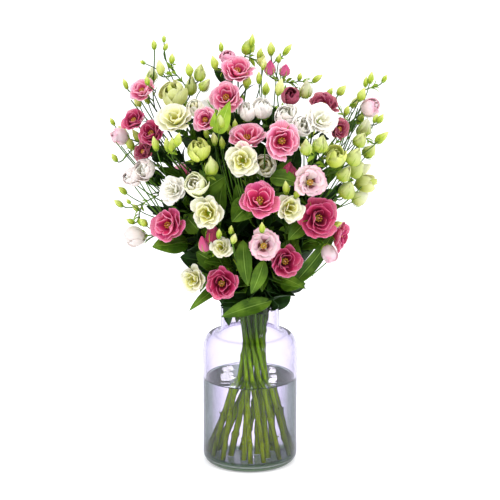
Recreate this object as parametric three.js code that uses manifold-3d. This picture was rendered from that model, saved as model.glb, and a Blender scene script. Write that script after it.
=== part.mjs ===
// A bunch of lisianthus standing in a glass jar vase that is half full of water.
// Sizes are millimetres and +Z is up. The origin is the middle of the vase's flat foot, and the
// front of the bunch is looked at along +Y, with +X to the right.

import * as THREE from 'three';
import { mergeGeometries, mergeVertices } from 'three/addons/utils/BufferGeometryUtils.js';
import Module from 'manifold-3d';

// Vase
const VASE_HEIGHT = 245;
const BODY_RADIUS = 70;
const BODY_TOP = 171;
const FOOT_CORNER = 13;
const NECK_RADIUS = 43;
const NECK_FOOT = 214;
const SHOULDER_TURN = [57.5, 197.5];
const SHOULDER_INSET = 0.75;
const GLASS_WALL = 3.5;
const GLASS_FLOOR = 8.5;
const INNER_CORNER = 9;
const RIM_ROUND = 1.6;
const GLASS_SIDES = 24;
const ARC_STEPS = 3;

// Water, and the gap that touching pieces keep
const WATER_LEVEL = 132;
const SEAT_GAP = 0.3;
const HOLE_SPARE = 0.4;
const HOLE_RUN_OUT = 0.06;

// Stems: a sheaf of rods that cross over in a narrow waist, as a hand-tied bunch does
const WAIST_HEIGHT = 180;
const WAIST_SHIFT = 6;
const WAIST_RADIUS = { outer: 14, inner: 5.2 };
const FOOT_RADIUS = { outer: 46, inner: 22 };
const FOOT_HEIGHT = 9.7;
const MOUTH_HEIGHT = 255;
const STEM_RADIUS = 2.7;
const STEM_TOP_RADIUS = 1.9;
const STEM_SIDES = 5;
const STEM_HIGH_STEPS = 4;
const STEM_LEAN = 0.34;

// Pedicels with their calyxes, and the twigs of the buds
const PEDICEL = { radius: 1.35, tipRadius: 1.1, steps: 3, sides: 4 };
const BRANCH_SPACING = 16;
const BRANCH_FIRST = 1;
const CALYX_SPREAD = 0.42;
const CALYX_RISE = 0.12;
const RECEPTACLE = 0.12;
const RECEPTACLE_LIP = 0.4;
const TWIG = { radius: 0.95, steps: 2, sides: 4 };
const TWIG_TURN = Math.cos(THREE.MathUtils.degToRad(62));
const TWIG_LEAST = 16;
const BUD_NECK = 0.2;
const BUD_BELLY = 0.54;
const BUD_BELLY_HEIGHT = 0.36;
const BUD_OUTWARD = 0.35;
const BUD_BALLS = [0, 0.35, 0.7];

// How a shoot bends aside from what already stands
const CLEARANCE = 0.5;
const BEND_TURNS = 8;
const BEND_RINGS = 5;
const BEND_STEP = 0.11;
const BEND_ROOT = 0.8;
const REACH_START = 0.3;
const REACH_END = 0.34;
const TEST_STEPS = 14;
const TEST_FIRST = 2;
const STAND_STEPS = 30;
const STEM_STAND_STEPS = 12;
const ROOT_FIRST = 2;
const ROOT_LAST = -4;
const WRONG_WAY_COST = 40;
const TOO_SHORT_COST = 60;

// Blooms: five petals in each whorl. Each ring of a form is its distance from the axis, its
// height, and the whorl it follows (0 none, 1 the outer petals, 2 the inner ones, set between).
const PETALS = 5;
const BLOOM_SIDES = 10;
const LARGE_BLOOM = 50;
const LARGE_BLOOM_SIDES = 15;
const PETAL_NOTCH = 0.065;
const PETAL_RUFFLE = 0.07;
const FACE_HEIGHT = 0.8;
const HALF_OPEN_SINK = 0.6;
const FORMS = {
  open: {
    rings: [[0.09, 0, 0], [0.39, 0.34, 0], [1, 0.8, 1], [0.7, 0.67, 1], [0.62, 1, 2], [0.26, 0.56, 2]],
    heart: 0.72,
    balls: [[0.66, 0.96], [0.28, 0.5]],
  },
  cupped: {
    rings: [[0.13, 0, 0], [0.72, 0.36, 0], [1, 0.84, 1], [0.68, 0.7, 1], [0.52, 1, 2], [0.2, 0.8, 2]],
    heart: 0.74,
    balls: [[0.7, 1.02], [0.38, 0.88]],
  },
  closed: {
    rings: [[0.13, 0, 0], [0.84, 0.4, 0], [0.88, 1, 1], [0.34, 0.78, 1]],
    heart: 0.9,
    balls: [[0.72, 1.02], [0.4, 0.92]],
  },
};

// Leaves
const LEAF_THICKNESS = 1.3;
const LEAF_ROWS = 4;
const LEAF_WAVE = 0.12;
const LEAF_FOLD = 0.22;
const LEAF_BOW = 0.22;
const LEAF_BOW_PLACE = 0.45;
const LEAF_BELLY = 0.8;
const LEAF_FULLNESS = 0.85;
const LEAF_TURNS = 7;
const LEAF_TURN = THREE.MathUtils.degToRad(22);
const LEAF_SIZES = [1, 0.8, 0.62];
const LEAF_BALL_SIDES = [-0.75, -0.25, 0.25, 0.75];
const LEAF_BALL_ROWS = 10;
const LEAF_BALL_FIRST = 2;
const LEAF_BALL = 0.28;
const LEAF_OUTWARD = 0.8;
const LEAF_FORWARD = -0.4;
const LEAF_UPWARD = 0.9;

// The front view that places the flowers: each one stands where the sight line through its point
// in the view (px to the right, py down) meets an upright plane at its own depth y.
const EYE_BACK = 3000;
const EYE_UP = 1080;
const EYE_PITCH = THREE.MathUtils.degToRad(14.13);
const VIEW_MIDDLE = 250;
const VIEW_FOCUS = 2098;

// Name, view point of the fork and its depth, then the ring that the stem stands in and where
// it passes the waist and meets the floor (bearings in degrees from the front to the right).
const SPRAYS = [
  ['spray_front', 262, 268, -46, 'outer', 25, 88],
  ['spray_right_low', 284, 246, -47, 'outer', 58, 121],
  ['spray_right', 303, 218, -18, 'outer', 90, 154],
  ['spray_right_high', 305, 180, 4, 'outer', 123, 188],
  ['spray_back_right', 275, 215, 48, 'outer', 156, 221],
  ['spray_back_left', 222, 215, 48, 'outer', 188, 252],
  ['spray_left_high', 196, 190, 8, 'outer', 221, 281],
  ['spray_left', 194, 218, -12, 'outer', 254, 309],
  ['spray_left_low', 203, 240, -40, 'outer', 287, 361],
  ['spray_left_front', 217, 228, -60, 'outer', 319, 24],
  ['spray_low_left', 236, 272, -48, 'outer', 352, 56],
  ['spray_middle', 258, 205, -42, 'inner', 10, 70],
  ['spray_top_right', 272, 140, -8, 'inner', 100, 160],
  ['spray_top', 240, 130, 8, 'inner', 190, 250],
  ['spray_top_left', 218, 158, -14, 'inner', 280, 340],
];

// Node, form, spray, view point, depth, width, height, bearing and lift of the way it faces.
// Rows with the same node are flowers of one colour that grow into each other.
const BLOOMS = [
  ['cream_bloom_1', 'open', 'spray_low_left', 191, 280, -84, 42, 22, -32, 4],
  ['crimson_bloom_1', 'open', 'spray_low_left', 221, 284, -108, 48, 24, -8, 8],
  ['crimson_bloom_2', 'open', 'spray_front', 287, 262, -98, 50, 24, 22, 6],
  ['blush_bloom_1', 'open', 'spray_front', 264, 246, -132, 47, 20, 4, 12],
  ['cream_bloom_2', 'open', 'spray_low_left', 221, 247, -112, 32, 18, -8, 22],
  ['pink_bloom_1', 'open', 'spray_left_low', 165, 225, -86, 50, 24, -30, 12],
  ['cream_bloom_3', 'open', 'spray_left_front', 206, 213, -124, 49, 24, -14, 14],
  ['pink_bloom_2', 'open', 'spray_middle', 260, 198, -140, 54, 25, 4, 34],
  ['cream_bloom_4', 'open', 'spray_right_low', 291, 208, -125, 42, 24, 15, 18],
  ['crimson_bloom_3', 'open', 'spray_right_low', 321, 218, -98, 56, 25, 24, 14],
  ['crimson_bloom_4', 'open', 'spray_right_low', 345, 238, -56, 42, 22, 74, -8],
  ['blush_bloom_2', 'closed', 'spray_right_low', 332, 259, -80, 28, 28, 40, -48],
  ['white_bloom_1', 'closed', 'spray_left_low', 129, 238, -46, 31, 31, -82, -6],
  ['blush_bloom_3', 'open', 'spray_right', 311, 182, -118, 46, 18, 14, 16],
  ['white_bloom_2', 'open', 'spray_left_low', 171, 190, -88, 41, 25, -24, 16],
  ['cream_bloom_5', 'cupped', 'spray_left_front', 195, 183, -112, 38, 30, -14, 30],
  ['white_bloom_3', 'cupped', 'spray_left', 142, 169, -64, 34, 28, -34, 14],
  ['white_bloom_3', 'closed', 'spray_left', 128, 177, -60, 30, 26, -50, 8],
  ['maroon_bloom_1', 'open', 'spray_left_high', 141, 151, -44, 30, 18, -36, 20],
  ['pink_bloom_3', 'open', 'spray_middle', 247, 133, -94, 54, 25, 0, 62],
  ['pink_bloom_4', 'open', 'spray_middle', 283, 141, -124, 52, 24, 12, 10],
  ['cream_bloom_6', 'open', 'spray_middle', 242, 160, -122, 48, 22, -4, 14],
  ['white_bloom_4', 'cupped', 'spray_middle', 265, 165, -84, 36, 28, 4, 20],
  ['blush_bloom_4', 'closed', 'spray_left_high', 114, 136, -14, 29, 27, -78, 14],
  ['crimson_bloom_5', 'open', 'spray_left_high', 132, 118, -25, 39, 18, -40, 46],
  ['crimson_bloom_6', 'open', 'spray_left_high', 149, 131, -48, 43, 22, -32, 38],
  ['white_bloom_5', 'open', 'spray_top_left', 174, 115, -82, 53, 26, -16, 48],
  ['white_bloom_5', 'closed', 'spray_top_left', 194, 104, -70, 28, 24, -10, 40],
  ['pink_bloom_5', 'open', 'spray_left_high', 140, 88, -20, 38, 20, -36, 44],
  ['pink_bloom_6', 'open', 'spray_top', 237, 67, -24, 50, 24, -4, 52],
  ['pink_bloom_6', 'closed', 'spray_top', 228, 54, 2, 28, 18, -10, 60],
  ['pink_bloom_7', 'open', 'spray_top', 225, 95, -58, 48, 24, -14, 34],
  ['pink_bloom_8', 'open', 'spray_top_left', 204, 119, -96, 35, 20, -16, 20],
  ['white_bloom_6', 'closed', 'spray_top', 247, 107, -57, 29, 30, -2, 58],
  ['white_bloom_6', 'closed', 'spray_top_right', 263, 104, -58, 31, 32, 4, 58],
  ['white_bloom_7', 'cupped', 'spray_top_right', 286, 113, -86, 37, 32, 8, 36],
  ['white_bloom_7', 'cupped', 'spray_top_right', 303, 124, -89, 33, 28, 14, 30],
  ['white_bloom_7', 'open', 'spray_right_high', 323, 118, -86, 48, 26, 20, 26],
  ['maroon_bloom_2', 'closed', 'spray_top_right', 291, 93, -44, 30, 26, 8, 40],
  ['maroon_bloom_3', 'open', 'spray_top_right', 325, 103, -44, 46, 22, 20, 44],
  ['maroon_bloom_4', 'open', 'spray_right_high', 342, 129, -66, 34, 20, 42, 8],
  ['blush_bloom_5', 'closed', 'spray_right_high', 375, 105, -4, 31, 28, 66, 34],
  ['back_pink_bloom', 'open', 'spray_back_left', 176, 176, 92, 50, 24, -128, 22],
  ['back_white_blooms', 'open', 'spray_back_left', 234, 112, 112, 48, 24, 175, 42],
  ['back_white_blooms', 'open', 'spray_back_left', 214, 102, 106, 42, 22, -168, 46],
  ['back_crimson_bloom', 'open', 'spray_back_right', 290, 124, 100, 50, 24, 148, 34],
  ['back_cream_blooms', 'open', 'spray_back_left', 214, 206, 134, 48, 24, -160, 12],
  ['back_cream_blooms', 'open', 'spray_back_left', 194, 198, 126, 44, 22, -150, 12],
  ['back_blush_bloom', 'open', 'spray_back_right', 258, 168, 146, 48, 20, 172, 18],
  ['back_pink_blooms', 'open', 'spray_back_right', 244, 240, 122, 50, 24, 178, 0],
  ['back_pink_blooms', 'open', 'spray_back_right', 266, 243, 116, 44, 22, 166, -2],
  ['back_maroon_bloom', 'open', 'spray_back_right', 312, 184, 96, 46, 22, 126, 14],
];

// Half-open flowers, one with their spray: spray, view point, depth, width, height, bearing
// and lift.
const HALF_OPEN = [
  ['spray_left_front', 197, 145, -92, 34, 32, -14, 52],
  ['spray_top_left', 172, 88, -34, 42, 38, -14, 56],
  ['spray_right_high', 338, 153, -90, 33, 33, 26, 46],
  ['spray_right', 373, 182, -22, 30, 32, 78, 12],
];

// Buds: spray, view point, depth, length, width, lean in the view (degrees to the right).
const BUDS = [
  ['spray_left_front', 211, 165, -96, 28, 20, -4],
  ['spray_top_left', 191, 85, -12, 30, 17, 6],
  ['spray_right_high', 321, 143, -100, 27, 20, 12],
  ['spray_right_high', 355, 156, -68, 28, 20, 30],
  ['spray_right', 357, 169, -36, 27, 19, 40],
  ['spray_middle', 290, 170, -80, 26, 22, 8],
  ['spray_right', 348, 189, -60, 28, 19, 24],
  ['spray_left_high', 154, 44, -6, 15, 8, -2],
  ['spray_top_left', 166, 46, -10, 12, 7, 22],
  ['spray_top_left', 172, 58, -16, 16, 9, 6],
  ['spray_top_left', 160, 67, -22, 26, 13, -6],
  ['spray_left_high', 147, 80, -44, 14, 8, -8],
  ['spray_left_high', 125, 83, -8, 18, 7, -18],
  ['spray_left_high', 152, 74, 12, 22, 16, 6],
  ['spray_top_left', 189, 69, -34, 20, 12, -6],
  ['spray_top_left', 200, 72, -20, 26, 16, 8],
  ['spray_top', 214, 62, -22, 22, 12, -12],
  ['spray_top', 221, 46, 26, 14, 7, -4],
  ['spray_top', 249, 45, 12, 28, 18, 20],
  ['spray_top', 260, 53, -4, 18, 9, 14],
  ['spray_top_right', 271, 48, -4, 22, 12, 0],
  ['spray_top_right', 288, 49, 0, 20, 9, 36],
  ['spray_top_right', 270, 67, -28, 24, 16, 0],
  ['spray_top_right', 285, 69, -22, 20, 15, 14],
  ['spray_top_right', 280, 86, -62, 28, 13, 12],
  ['spray_top_right', 300, 76, -16, 12, 7, 14],
  ['spray_top_right', 318, 78, -6, 19, 9, 50],
  ['spray_top_right', 306, 88, -30, 30, 19, 8],
  ['spray_right_high', 342, 90, -10, 20, 12, 36],
  ['spray_right_high', 347, 110, -30, 16, 9, 16],
  ['spray_right_high', 366, 81, 14, 15, 8, 8],
  ['spray_right_high', 385, 78, 18, 13, 7, 34],
  ['spray_right_high', 381, 118, -26, 16, 9, 28],
  ['spray_right_high', 366, 126, -16, 28, 17, 14],
  ['spray_right_high', 381, 138, -24, 22, 13, 42],
  ['spray_right_high', 361, 139, -44, 24, 17, 26],
  ['spray_right_high', 306, 146, -116, 25, 15, 4],
  ['spray_right_low', 338, 224, -66, 15, 9, 62],
  ['spray_left', 118, 203, -30, 17, 9, -50],
  ['spray_left', 135, 207, -44, 14, 8, -40],
  ['spray_left', 130, 221, -40, 14, 8, -62],
  ['spray_low_left', 204, 243, -98, 26, 17, -14],
  ['spray_left_high', 114, 157, -26, 15, 8, -30],
  ['spray_top_left', 167, 144, -74, 22, 10, -6],
  ['spray_top_left', 178, 139, -108, 22, 12, 14],
  ['spray_top_left', 221, 118, -104, 30, 17, -8],
  ['spray_back_left', 188, 118, 76, 18, 11, -20],
  ['spray_back_left', 238, 74, 84, 20, 12, -4],
  ['spray_back_left', 206, 148, 132, 22, 12, -12],
  ['spray_back_right', 266, 88, 92, 20, 12, 8],
  ['spray_back_right', 284, 206, 136, 20, 11, 30],
  ['spray_back_right', 312, 132, 84, 18, 11, 26],
];

// Leaves: spray, view point and depth of the tip, view point near the root, width.
const LEAVES = [
  ['spray_middle', 236, 204, -112, 244, 236, 34],
  ['spray_middle', 284, 192, -70, 268, 226, 30],
  ['spray_left_front', 178, 158, -66, 204, 196, 26],
  ['spray_left_front', 226, 176, -76, 222, 218, 28],
  ['spray_left_low', 158, 246, -78, 196, 246, 30],
  ['spray_low_left', 189, 311, -76, 226, 276, 20],
  ['spray_low_left', 247, 268, -96, 241, 238, 26],
  ['spray_low_left', 204, 262, -92, 232, 262, 20],
  ['spray_front', 262, 292, -82, 258, 266, 20],
  ['spray_front', 306, 289, -84, 270, 274, 22],
  ['spray_right_low', 330, 240, -42, 297, 243, 26],
  ['spray_right_low', 293, 284, -64, 284, 249, 27],
  ['spray_right', 341, 206, -26, 305, 214, 23],
  ['spray_right_high', 340, 166, -20, 312, 186, 22],
  ['spray_left', 152, 214, -24, 190, 222, 24],
  ['spray_left_high', 158, 168, 0, 190, 186, 22],
  ['spray_top_right', 300, 128, 10, 276, 150, 24],
  ['spray_top', 228, 118, 24, 238, 140, 24],
  ['spray_top_left', 190, 128, 4, 214, 150, 24],
  ['spray_back_left', 180, 216, 92, 214, 226, 28],
  ['spray_back_left', 226, 158, 104, 226, 196, 30],
  ['spray_back_left', 208, 256, 102, 230, 250, 28],
  ['spray_back_right', 302, 212, 88, 276, 222, 30],
  ['spray_back_right', 276, 146, 100, 270, 190, 28],
  ['spray_back_right', 290, 264, 84, 268, 254, 28],
];

// Leaves that hang in the vase's mouth, inside the neck: spray, tip and root as x, y, z, width.
const MOUTH_LEAVES = [
  ['spray_low_left', -20, -28, 222, 4, -22, 252, 17],
  ['spray_front', 26, -27, 224, 6, -18, 262, 15],
  ['spray_left_low', -33, -4, 232, -12, -12, 252, 15],
  ['spray_right', 33, 6, 228, 18, 4, 250, 15],
  ['spray_back_right', 12, 32, 228, 8, 14, 250, 15],
];

const LOOKS = {
  vase: { color: 0xe9edf0, roughness: 0.05 },
  water: { color: 0xaebfbb, roughness: 0.08 },
  spray: { color: 0x5f8a2f, roughness: 0.55 },
  cream: { color: 0xeeeec2, roughness: 0.6 },
  crimson: { color: 0xc2255c, roughness: 0.6 },
  blush: { color: 0xf5cbd7, roughness: 0.6 },
  pink: { color: 0xe8618f, roughness: 0.6 },
  white: { color: 0xf7f3ee, roughness: 0.6 },
  maroon: { color: 0x8e1f3f, roughness: 0.6 },
};

const wasm = await Module();
wasm.setup();

// Solids and meshes

function solid(geometry) {
  const bare = geometry.clone();
  bare.deleteAttribute('normal');
  bare.deleteAttribute('uv');
  const merged = mergeVertices(bare);
  const corners = merged.index.array;
  const kept = [];
  for (let i = 0; i < corners.length; i += 3) {
    const [a, b, c] = corners.slice(i, i + 3);
    if (a !== b && b !== c && c !== a) {
      kept.push(a, b, c);
    }
  }
  const vertProperties = new Float32Array(merged.attributes.position.array);
  const triVerts = new Uint32Array(kept);
  return new wasm.Manifold(new wasm.Mesh({ numProp: 3, vertProperties, triVerts }));
}

// Joined shapes are one body: a hollow that the join seals is filled.
function fuse(shapes) {
  const joined = shapes.reduce((whole, shape) => whole.add(shape));
  const bodies = joined.decompose().sort((a, b) => b.volume() - a.volume());
  return bodies[0];
}

function meshOf(name, shape, look) {
  const { vertProperties, triVerts } = shape.getMesh();
  const geometry = new THREE.BufferGeometry();
  geometry.setAttribute('position', new THREE.BufferAttribute(vertProperties, 3));
  geometry.setIndex(new THREE.BufferAttribute(triVerts, 1));
  const mesh = new THREE.Mesh(geometry, new THREE.MeshStandardMaterial({ ...look, metalness: 0 }));
  mesh.name = name;
  return mesh;
}

// Places and directions

function seen(px, py, y) {
  const rise = (VIEW_MIDDLE - py) / VIEW_FOCUS;
  const ahead = Math.cos(EYE_PITCH) + Math.sin(EYE_PITCH) * rise;
  const across = (px - VIEW_MIDDLE) / VIEW_FOCUS;
  const up = Math.cos(EYE_PITCH) * rise - Math.sin(EYE_PITCH);
  const far = (y + EYE_BACK) / ahead;
  return new THREE.Vector3(across * far, y, EYE_UP + up * far);
}

function facing(bearing, lift) {
  const a = THREE.MathUtils.degToRad(bearing);
  const b = THREE.MathUtils.degToRad(lift);
  return new THREE.Vector3(Math.sin(a) * Math.cos(b), -Math.cos(a) * Math.cos(b), Math.sin(b));
}

function onRing(radius, bearing, height) {
  return facing(bearing, 0).multiplyScalar(radius).setZ(height);
}

function beyond(point, direction, distance) {
  return point.clone().addScaledVector(direction, distance);
}

function bezier(points, steps) {
  return new THREE.CubicBezierCurve3(...points).getPoints(steps);
}

// Points on the straight pieces that join a line's corners, so many to each line.
function alongCorners(corners, count) {
  const steps = corners.length - 1;
  const points = [];
  for (let i = 0; i <= count; i += 1) {
    const step = (i / count) * steps;
    const low = Math.min(Math.floor(step), steps - 1);
    points.push(corners[low].clone().lerp(corners[low + 1], step - low));
  }
  return points;
}

// Things that grow along a line

const NEARLY_UPRIGHT = 0.9;

function framesAlong(points, endDirection) {
  const last = points.length - 1;
  const frames = points.map((point, i) => {
    const before = points[Math.max(i - 1, 0)];
    const after = points[Math.min(i + 1, last)];
    return { point, ahead: after.clone().sub(before).normalize() };
  });
  if (endDirection) {
    frames[last].ahead = endDirection.clone();
  }
  const aside = new THREE.Vector3(0, 0, 1);
  if (Math.abs(frames[0].ahead.z) > NEARLY_UPRIGHT) {
    aside.set(1, 0, 0);
  }
  let side = aside.cross(frames[0].ahead).normalize();
  for (const frame of frames) {
    side = beyond(side, frame.ahead, -side.dot(frame.ahead)).normalize();
    frame.side = side;
    frame.over = frame.ahead.clone().cross(side);
  }
  return frames;
}

// A turned shape bent along a line. Its profile's heights are steps of the line, and past the
// last step they are millimetres straight on.
function grown(points, profile, sides, endDirection) {
  const frames = framesAlong(points, endDirection);
  const last = points.length - 1;
  const outline = profile.map(([radius, step]) => new THREE.Vector2(radius, step));
  const geometry = new THREE.LatheGeometry(outline, sides);
  const place = geometry.attributes.position;
  for (let i = 0; i < place.count; i += 1) {
    const step = place.getY(i);
    const low = Math.min(Math.floor(step), last);
    const high = Math.min(low + 1, last);
    const spot = frames[low].point.clone();
    if (step > last) {
      spot.addScaledVector(frames[last].ahead, step - last);
    } else {
      spot.lerp(frames[high].point, step - low);
    }
    spot.addScaledVector(frames[low].side, place.getX(i));
    spot.addScaledVector(frames[low].over, -place.getZ(i));
    place.setXYZ(i, spot.x, spot.y, spot.z);
  }
  return solid(geometry);
}

// What already stands, as balls. The line of each spray is kept to branch from.

const standing = [];
const lines = {};

function stand(spray, owner, point, radius) {
  standing.push({ spray, owner, point, radius });
}

function standLine(spray, points, radius) {
  lines[spray] = [...(lines[spray] ?? []), points];
  points.forEach((point) => stand(spray, 'green', point, radius));
}

// The narrowest gap between some balls and everything that isn't their own.
function roomAround(balls, spray, owner) {
  let room = Infinity;
  for (const other of standing) {
    const own = other.owner === owner || (other.owner === 'green' && other.spray === spray);
    if (!own) {
      for (const [point, radius] of balls) {
        room = Math.min(room, other.point.distanceTo(point) - other.radius - radius);
      }
    }
  }
  return room;
}

// Stems

function stemCorners(row) {
  const [, px, py, y, ring, waistBearing, footBearing] = row;
  const waist = onRing(WAIST_RADIUS[ring], waistBearing, WAIST_HEIGHT);
  waist.x += WAIST_SHIFT;
  const foot = onRing(FOOT_RADIUS[ring], footBearing, FOOT_HEIGHT);
  const fork = seen(px, py, y);
  const rise = waist.clone().sub(foot).normalize();
  const spread = fork.clone().sub(new THREE.Vector3(WAIST_SHIFT, 0, MOUTH_HEIGHT)).normalize();
  const reach = fork.distanceTo(waist) * STEM_LEAN;
  const bend = [waist, beyond(waist, rise, reach), beyond(fork, spread, -reach), fork];
  return [foot, ...bezier(bend, STEM_HIGH_STEPS)];
}

function stem(corners, spare) {
  const profile = corners.map((corner, i) => {
    const taper = Math.max(0, (i - 1) / STEM_HIGH_STEPS);
    return [THREE.MathUtils.lerp(STEM_RADIUS, STEM_TOP_RADIUS, taper) + spare, i];
  });
  return grown(corners, [[0, 0], ...profile, [0, corners.length - 1]], STEM_SIDES);
}

function stemHole(corners) {
  const [foot, waist, ...rest] = corners;
  const below = foot.clone().lerp(waist, -HOLE_RUN_OUT);
  return stem([below, waist, ...rest], HOLE_SPARE);
}

// Shoots

function bentWays(length, ahead) {
  const across = new THREE.Vector3(0, 0, 1).cross(ahead).normalize();
  const over = ahead.clone().cross(across);
  const ways = [new THREE.Vector3()];
  for (let ring = 1; ring <= BEND_RINGS; ring += 1) {
    for (let turn = 0; turn < BEND_TURNS; turn += 1) {
      const angle = (2 * Math.PI * turn) / BEND_TURNS;
      const size = ring * BEND_STEP * length;
      const way = across.clone().multiplyScalar(Math.cos(angle) * size);
      ways.push(way.addScaledVector(over, Math.sin(angle) * size));
    }
  }
  return ways;
}

// The line of a shoot from its root to its seat: it leaves along its host, arrives along the
// flower's own axis, and bends aside as little as it must. The head balls are the flower's own.
function shootLine({ root, ahead }, seat, axis, spray, owner, shoot, head) {
  const length = root.distanceTo(seat);
  const straight = seat.clone().sub(root).normalize();
  const leave = ahead.clone().add(straight).normalize();
  let best = { room: -Infinity };
  for (const way of bentWays(length, straight)) {
    const line = [
      root,
      beyond(root, leave, length * REACH_START).addScaledVector(way, BEND_ROOT),
      beyond(seat, axis, -length * REACH_END).add(way),
      seat,
    ];
    const points = alongCorners(bezier(line, shoot.steps), TEST_STEPS).slice(TEST_FIRST);
    const balls = points.map((point) => [point, shoot.radius]);
    const room = roomAround([...balls, ...head], spray, owner);
    if (room > best.room) {
      best = { line, room };
    }
    if (room >= CLEARANCE) {
      break;
    }
  }
  return bezier(best.line, shoot.steps);
}

// The flowers of a spray leave its stem one below the other, from the fork down.
function stemRoot(spray) {
  const points = lines[spray][0];
  let down = BRANCH_FIRST + BRANCH_SPACING * (lines[spray].length - 1);
  let i = points.length - 1;
  while (down > points[i].distanceTo(points[i - 1])) {
    down -= points[i].distanceTo(points[i - 1]);
    i -= 1;
  }
  const ahead = points[i].clone().sub(points[i - 1]).normalize();
  return { root: beyond(points[i], ahead, -down), ahead };
}

// The nearest point of a spray's lines that heads the target's way.
function nearestRoot(spray, target, least, turn) {
  let best = { cost: Infinity };
  for (const points of lines[spray]) {
    for (let i = ROOT_FIRST; i < points.length + ROOT_LAST; i += 1) {
      const ahead = points[i].clone().sub(points[i - 1]).normalize();
      const way = target.clone().sub(points[i]);
      const far = way.length();
      const wrong = way.dot(ahead) < turn * far ? WRONG_WAY_COST : 0;
      const cost = far + wrong + (far < least ? TOO_SHORT_COST : 0);
      if (cost < best.cost) {
        best = { cost, root: points[i], ahead };
      }
    }
  }
  return best;
}

// A flower stalk that ends in a flared calyx round a small flat seat.
function pedicel(corners, axis, width) {
  const { radius, tipRadius, steps, sides } = PEDICEL;
  const half = width / 2;
  const stalk = corners.slice(0, steps).map((corner, i) => {
    return [THREE.MathUtils.lerp(radius, tipRadius, i / steps), i];
  });
  const calyx = [
    [CALYX_SPREAD * half, steps + CALYX_RISE * half],
    [RECEPTACLE * half + RECEPTACLE_LIP, steps],
    [0, steps],
  ];
  return grown(corners, [[0, 0], ...stalk, ...calyx], sides, axis);
}

function buddedTwig(corners, axis, length, width) {
  const { radius, steps, sides } = TWIG;
  const stalk = corners.slice(0, steps).map((corner, i) => [radius, i]);
  const bud = [
    [BUD_NECK * width, steps],
    [BUD_BELLY * width, steps + BUD_BELLY_HEIGHT * length],
    [0, steps + length],
  ];
  return grown(corners, [[0, 0], ...stalk, ...bud], sides, axis);
}

// Blooms

function bloomGeometry(form, width, height) {
  const { rings, heart } = FORMS[form];
  const profile = [[0, 0], ...rings, [0, heart]].map(([out, up]) => {
    return new THREE.Vector2((out * width) / 2, SEAT_GAP + up * height);
  });
  const large = width >= LARGE_BLOOM && form === 'open';
  const sides = large ? LARGE_BLOOM_SIDES : BLOOM_SIDES;
  const geometry = new THREE.LatheGeometry(profile, sides);
  const place = geometry.attributes.position;
  for (let i = 0; i < place.count; i += 1) {
    const ring = rings[(i % profile.length) - 1];
    const whorl = ring?.[2] ?? 0;
    if (whorl > 0) {
      const side = Math.floor(i / profile.length) % sides;
      const turn = (side / sides) * PETALS + (whorl === 2 ? 0.5 : 0);
      const lobe = Math.cos(2 * Math.PI * turn);
      const spread = 1 + PETAL_NOTCH * (lobe - 1);
      const rise = PETAL_RUFFLE * height * lobe;
      place.setXYZ(i, place.getX(i) * spread, place.getY(i) + rise, place.getZ(i) * spread);
    }
  }
  return geometry;
}

function bloomSolid(form, width, height, seat, axis) {
  const turn = new THREE.Quaternion().setFromUnitVectors(new THREE.Vector3(0, 1, 0), axis);
  const geometry = bloomGeometry(form, width, height).applyQuaternion(turn);
  return solid(geometry.translate(seat.x, seat.y, seat.z));
}

function bloomPlace(owner, form, spray, px, py, y, width, height, bearing, lift) {
  const axis = facing(bearing, lift);
  const seat = beyond(seen(px, py, y), axis, -FACE_HEIGHT * height);
  for (const [up, size] of FORMS[form].balls) {
    stand(spray, owner, beyond(seat, axis, up * height), (size * width) / 2);
  }
  return { owner, spray, form, width, height, seat, axis };
}

function growPedicel({ owner, spray, width, seat, axis }) {
  const corners = shootLine(stemRoot(spray), seat, axis, spray, owner, PEDICEL, []);
  sprayParts[spray].push(pedicel(corners, axis, width));
  standLine(spray, alongCorners(corners, STAND_STEPS), PEDICEL.radius);
}

// Leaves: a thin blade, its two faces split alike and meeting along its waved edge

function leafWidth(along) {
  if (along <= 0 || along >= 1) {
    return 0;
  }
  return Math.sin(Math.PI * along ** LEAF_BELLY) ** LEAF_FULLNESS;
}

function bladeFace(midrib, face, width, way) {
  const geometry = new THREE.PlaneGeometry(2, 1, 2, LEAF_ROWS);
  const place = geometry.attributes.position;
  for (let i = 0; i < place.count; i += 1) {
    const side = Math.round(place.getX(i));
    const along = 0.5 - place.getY(i);
    const ahead = midrib.getTangent(along);
    const across = ahead.clone().cross(face).normalize();
    const out = across.clone().cross(ahead);
    const half = (width / 2) * leafWidth(along);
    const wave = Math.round(along * LEAF_ROWS) % 2 === 0 ? LEAF_WAVE : -LEAF_WAVE;
    const edge = half * (Math.abs(side) * LEAF_FOLD + side * wave);
    const thick = side === 0 && half > 0 ? (way * LEAF_THICKNESS) / 2 : 0;
    const spot = beyond(midrib.getPoint(along), across, side * half);
    spot.addScaledVector(out, thick + edge);
    place.setXYZ(i, spot.x, spot.y, spot.z);
  }
  return geometry;
}

function blade(midrib, face, width) {
  const under = bladeFace(midrib, face, width, -1);
  const upper = bladeFace(midrib, face, width, 1);
  const corners = upper.index.array;
  for (let i = 0; i < corners.length; i += 3) {
    [corners[i], corners[i + 1]] = [corners[i + 1], corners[i]];
  }
  return solid(mergeGeometries([under, upper]));
}

function bladeBalls(midrib, face, width) {
  const balls = [];
  for (let row = LEAF_BALL_FIRST; row < LEAF_BALL_ROWS; row += 1) {
    const along = row / LEAF_BALL_ROWS;
    const across = midrib.getTangent(along).cross(face).normalize();
    const half = (width / 2) * leafWidth(along);
    for (const side of LEAF_BALL_SIDES) {
      balls.push([beyond(midrib.getPoint(along), across, side * half), half * LEAF_BALL + 1]);
    }
  }
  return balls;
}

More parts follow.
